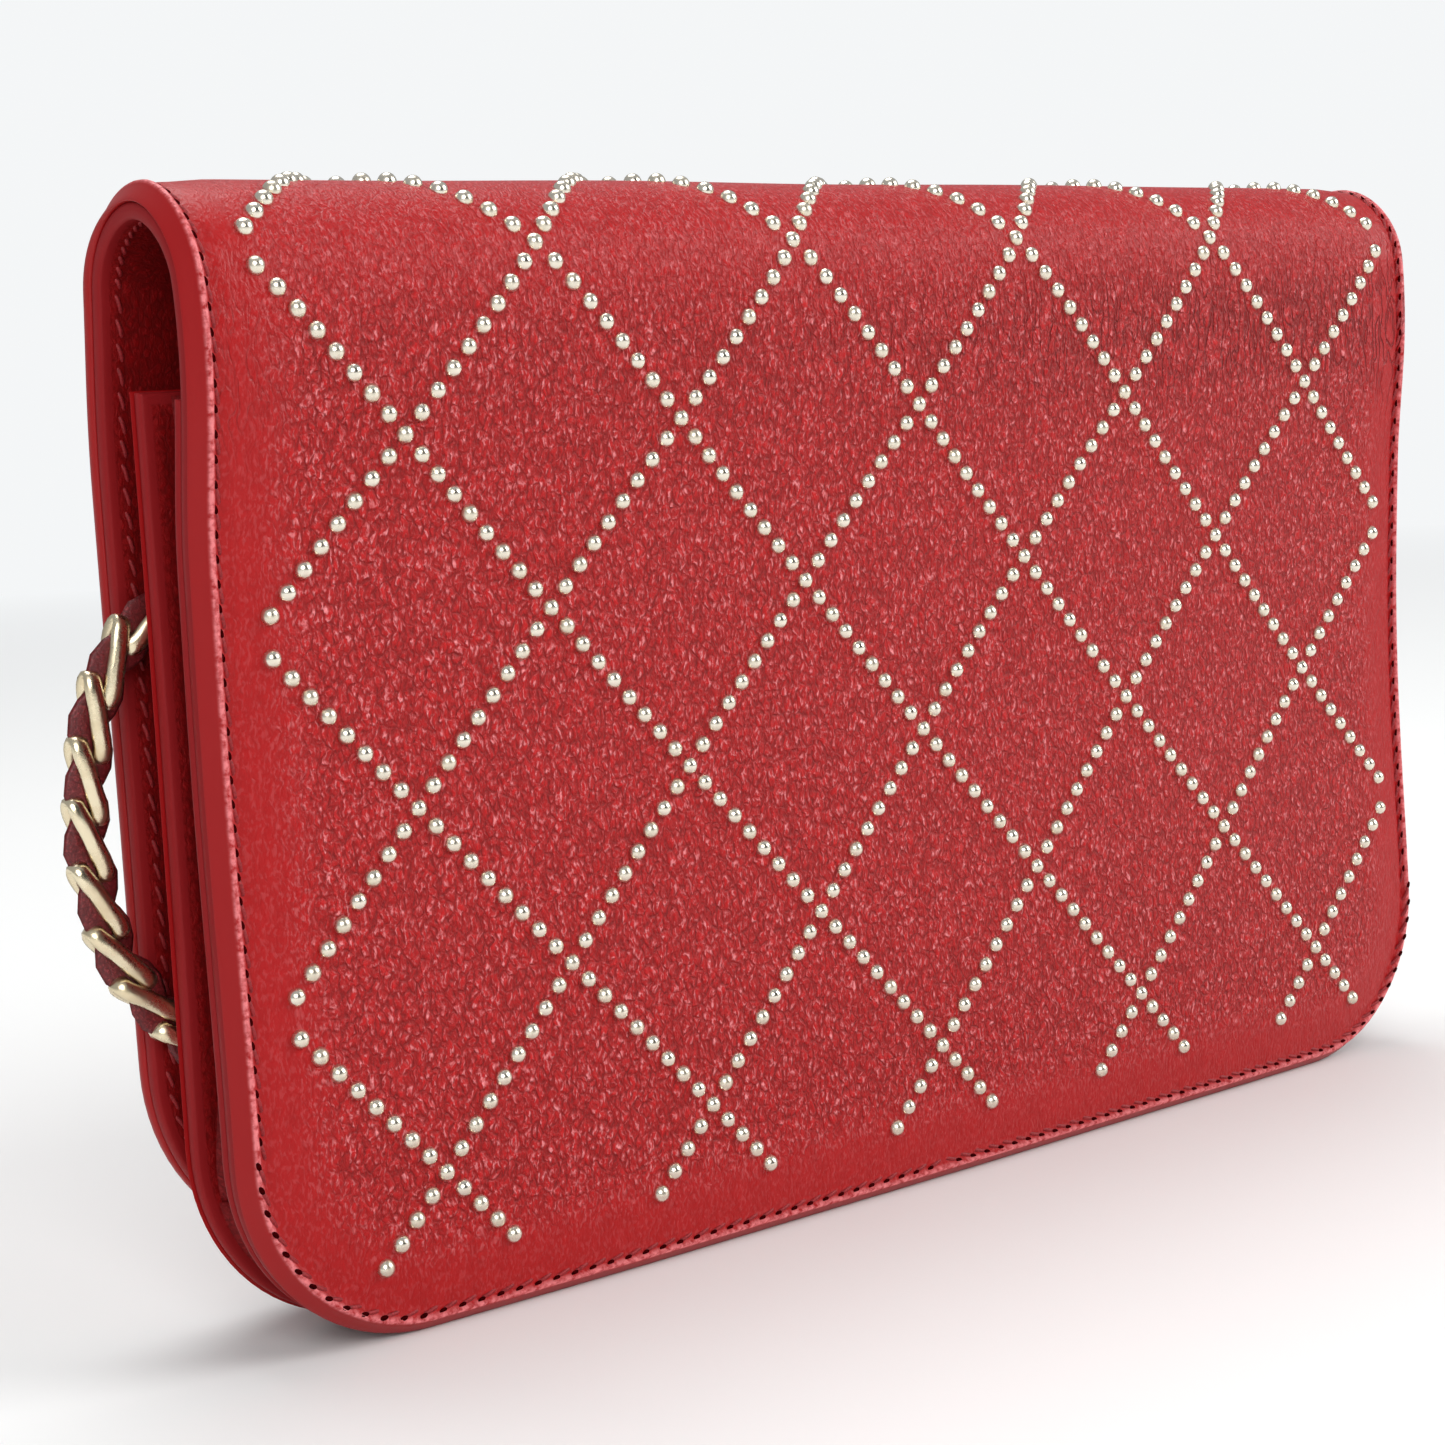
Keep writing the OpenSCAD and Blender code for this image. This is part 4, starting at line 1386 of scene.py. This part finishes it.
def make_fittings():
    """The eyelets with their anchor bars, and both halves of the snap."""
    for side in ("left", "right"):
        low, high = cad("eyelet_" + side)
        x, z = (low[0] + high[0]) / 2, (low[2] + high[2]) / 2
        inner, outer = 3.62, (high[0] - low[0]) / 2
        front, back = high[1], low[1]
        face = front - 0.7
        rear = back + 0.7
        profile = [(4.35, rear), (outer - 0.1, rear), (outer, rear - 0.2), (outer - 0.5, back + 0.08),
                   (inner + 0.7, back), (inner, rear - 0.1), (inner, face + 0.1), (inner + 0.7, front),
                   (outer - 0.5, front - 0.08), (outer, face + 0.2), (outer - 0.1, face), (4.35, face),
                   (4.35, rear)]
        turned("eyelet_ring_" + side, profile, x, z, 0.0, 1.0, "eyelet_" + side)
        make_anchor(side, x, z)
    low, high = cad("snap_base")
    y0, r = low[1], (high[0] - low[0]) / 2
    profile = [(0, 0), (r - 0.2, 0), (r, 0.25), (r - 0.1, 0.9), (r - 0.7, 1.35), (r - 1.6, 1.4),
               (2.6, 0.95), (1.9, 1.1), (1.75, 1.5), (1.55, 2.4), (1.75, 3.2), (1.72, 3.6),
               (1.35, 3.9), (0, 4.0)]
    turned("snap_post", profile, 0.0, (low[2] + high[2]) / 2, y0, 1.0, "snap_base")
    low, high = cad("snap_cap")
    r, deep = (high[0] - low[0]) / 2, high[1] - low[1]
    profile = [(0, 0), (r - 0.2, 0), (r, 0.3), (r, deep - 0.8), (r - 0.5, deep - 0.15), (r - 1.2, deep),
               (3.4, deep), (2.9, deep - 0.25), (2.8, deep - 0.7), (2.8, deep - 2.45), (0, deep - 2.5)]
    turned("snap_socket", profile, 0.0, (low[2] + high[2]) / 2, high[1], -1.0, "snap_cap", "flap")


def make_anchor(side, x, z):
    """The bar behind an eyelet with the loop that holds the chain's end link."""
    low, high = cad("chain_anchor_" + side)
    y = (low[1] + high[1]) / 2
    r, half = (high[0] - low[0]) / 2, (high[2] - low[2]) / 2
    profile = [(0, -half), (0.7 * r, -half + 0.15), (r, -half + 0.6), (r, -half + 1.6),
               (0.72 * r, -half + 2.1), (0.72 * r, half - 2.1), (r, half - 1.6), (r, half - 0.6),
               (0.7 * r, half - 0.15), (0, half)]
    build = Build()
    verts, faces = lathe(profile, 20)
    build.add(verts + np.array([x, y, z]), faces)
    loop = []
    for a in np.linspace(0, 2 * math.pi, 26, endpoint=False):
        loop.append((x + 1.5 * math.sin(a), y + 2.9 - 3.9 * math.cos(a), z))
    build.add(*tube(loop, np.tile([0.0, 0.0, 1.0], (26, 1)), 1.1, 1.1, 8, closed=True))
    anchor = build.make("chain_anchor_bar_" + side, [GOLD], "gold_metal")
    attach(anchor, "wallet")
    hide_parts("chain_anchor_" + side)


# ---------------------------------------------------------------- build
make_shell("rear", (("rear_panel_leather", "top_rear_leather"), ("rear_panel_lining", "top_rear_lining")))
make_shell("crest", (("top_rear_leather", "top_front_leather"), ("top_rear_lining", "top_front_lining")))
make_shell("flap", (("flap_leather", "top_front_leather"), ("flap_lining", "top_front_lining")))
make_shell_stitches()
make_studs("rear_studs_flat", -40, 3, "wallet", ("rear_studs",))
make_studs("rear_studs_bend", 4, 12, "rear", ("rear_studs", "top_rear_studs"))
make_studs("crest_studs", 13, 20, "crest", ("top_rear_studs", "top_front_studs"))
make_studs("flap_studs_bend", 21, 29, "flap", ("top_front_studs", "flap_studs"))
make_studs("flap_studs_flat", 30, 68, "flap", ("flap_studs",))
make_pocket()
make_gussets()
make_card_slots()
make_zip()
make_fittings()
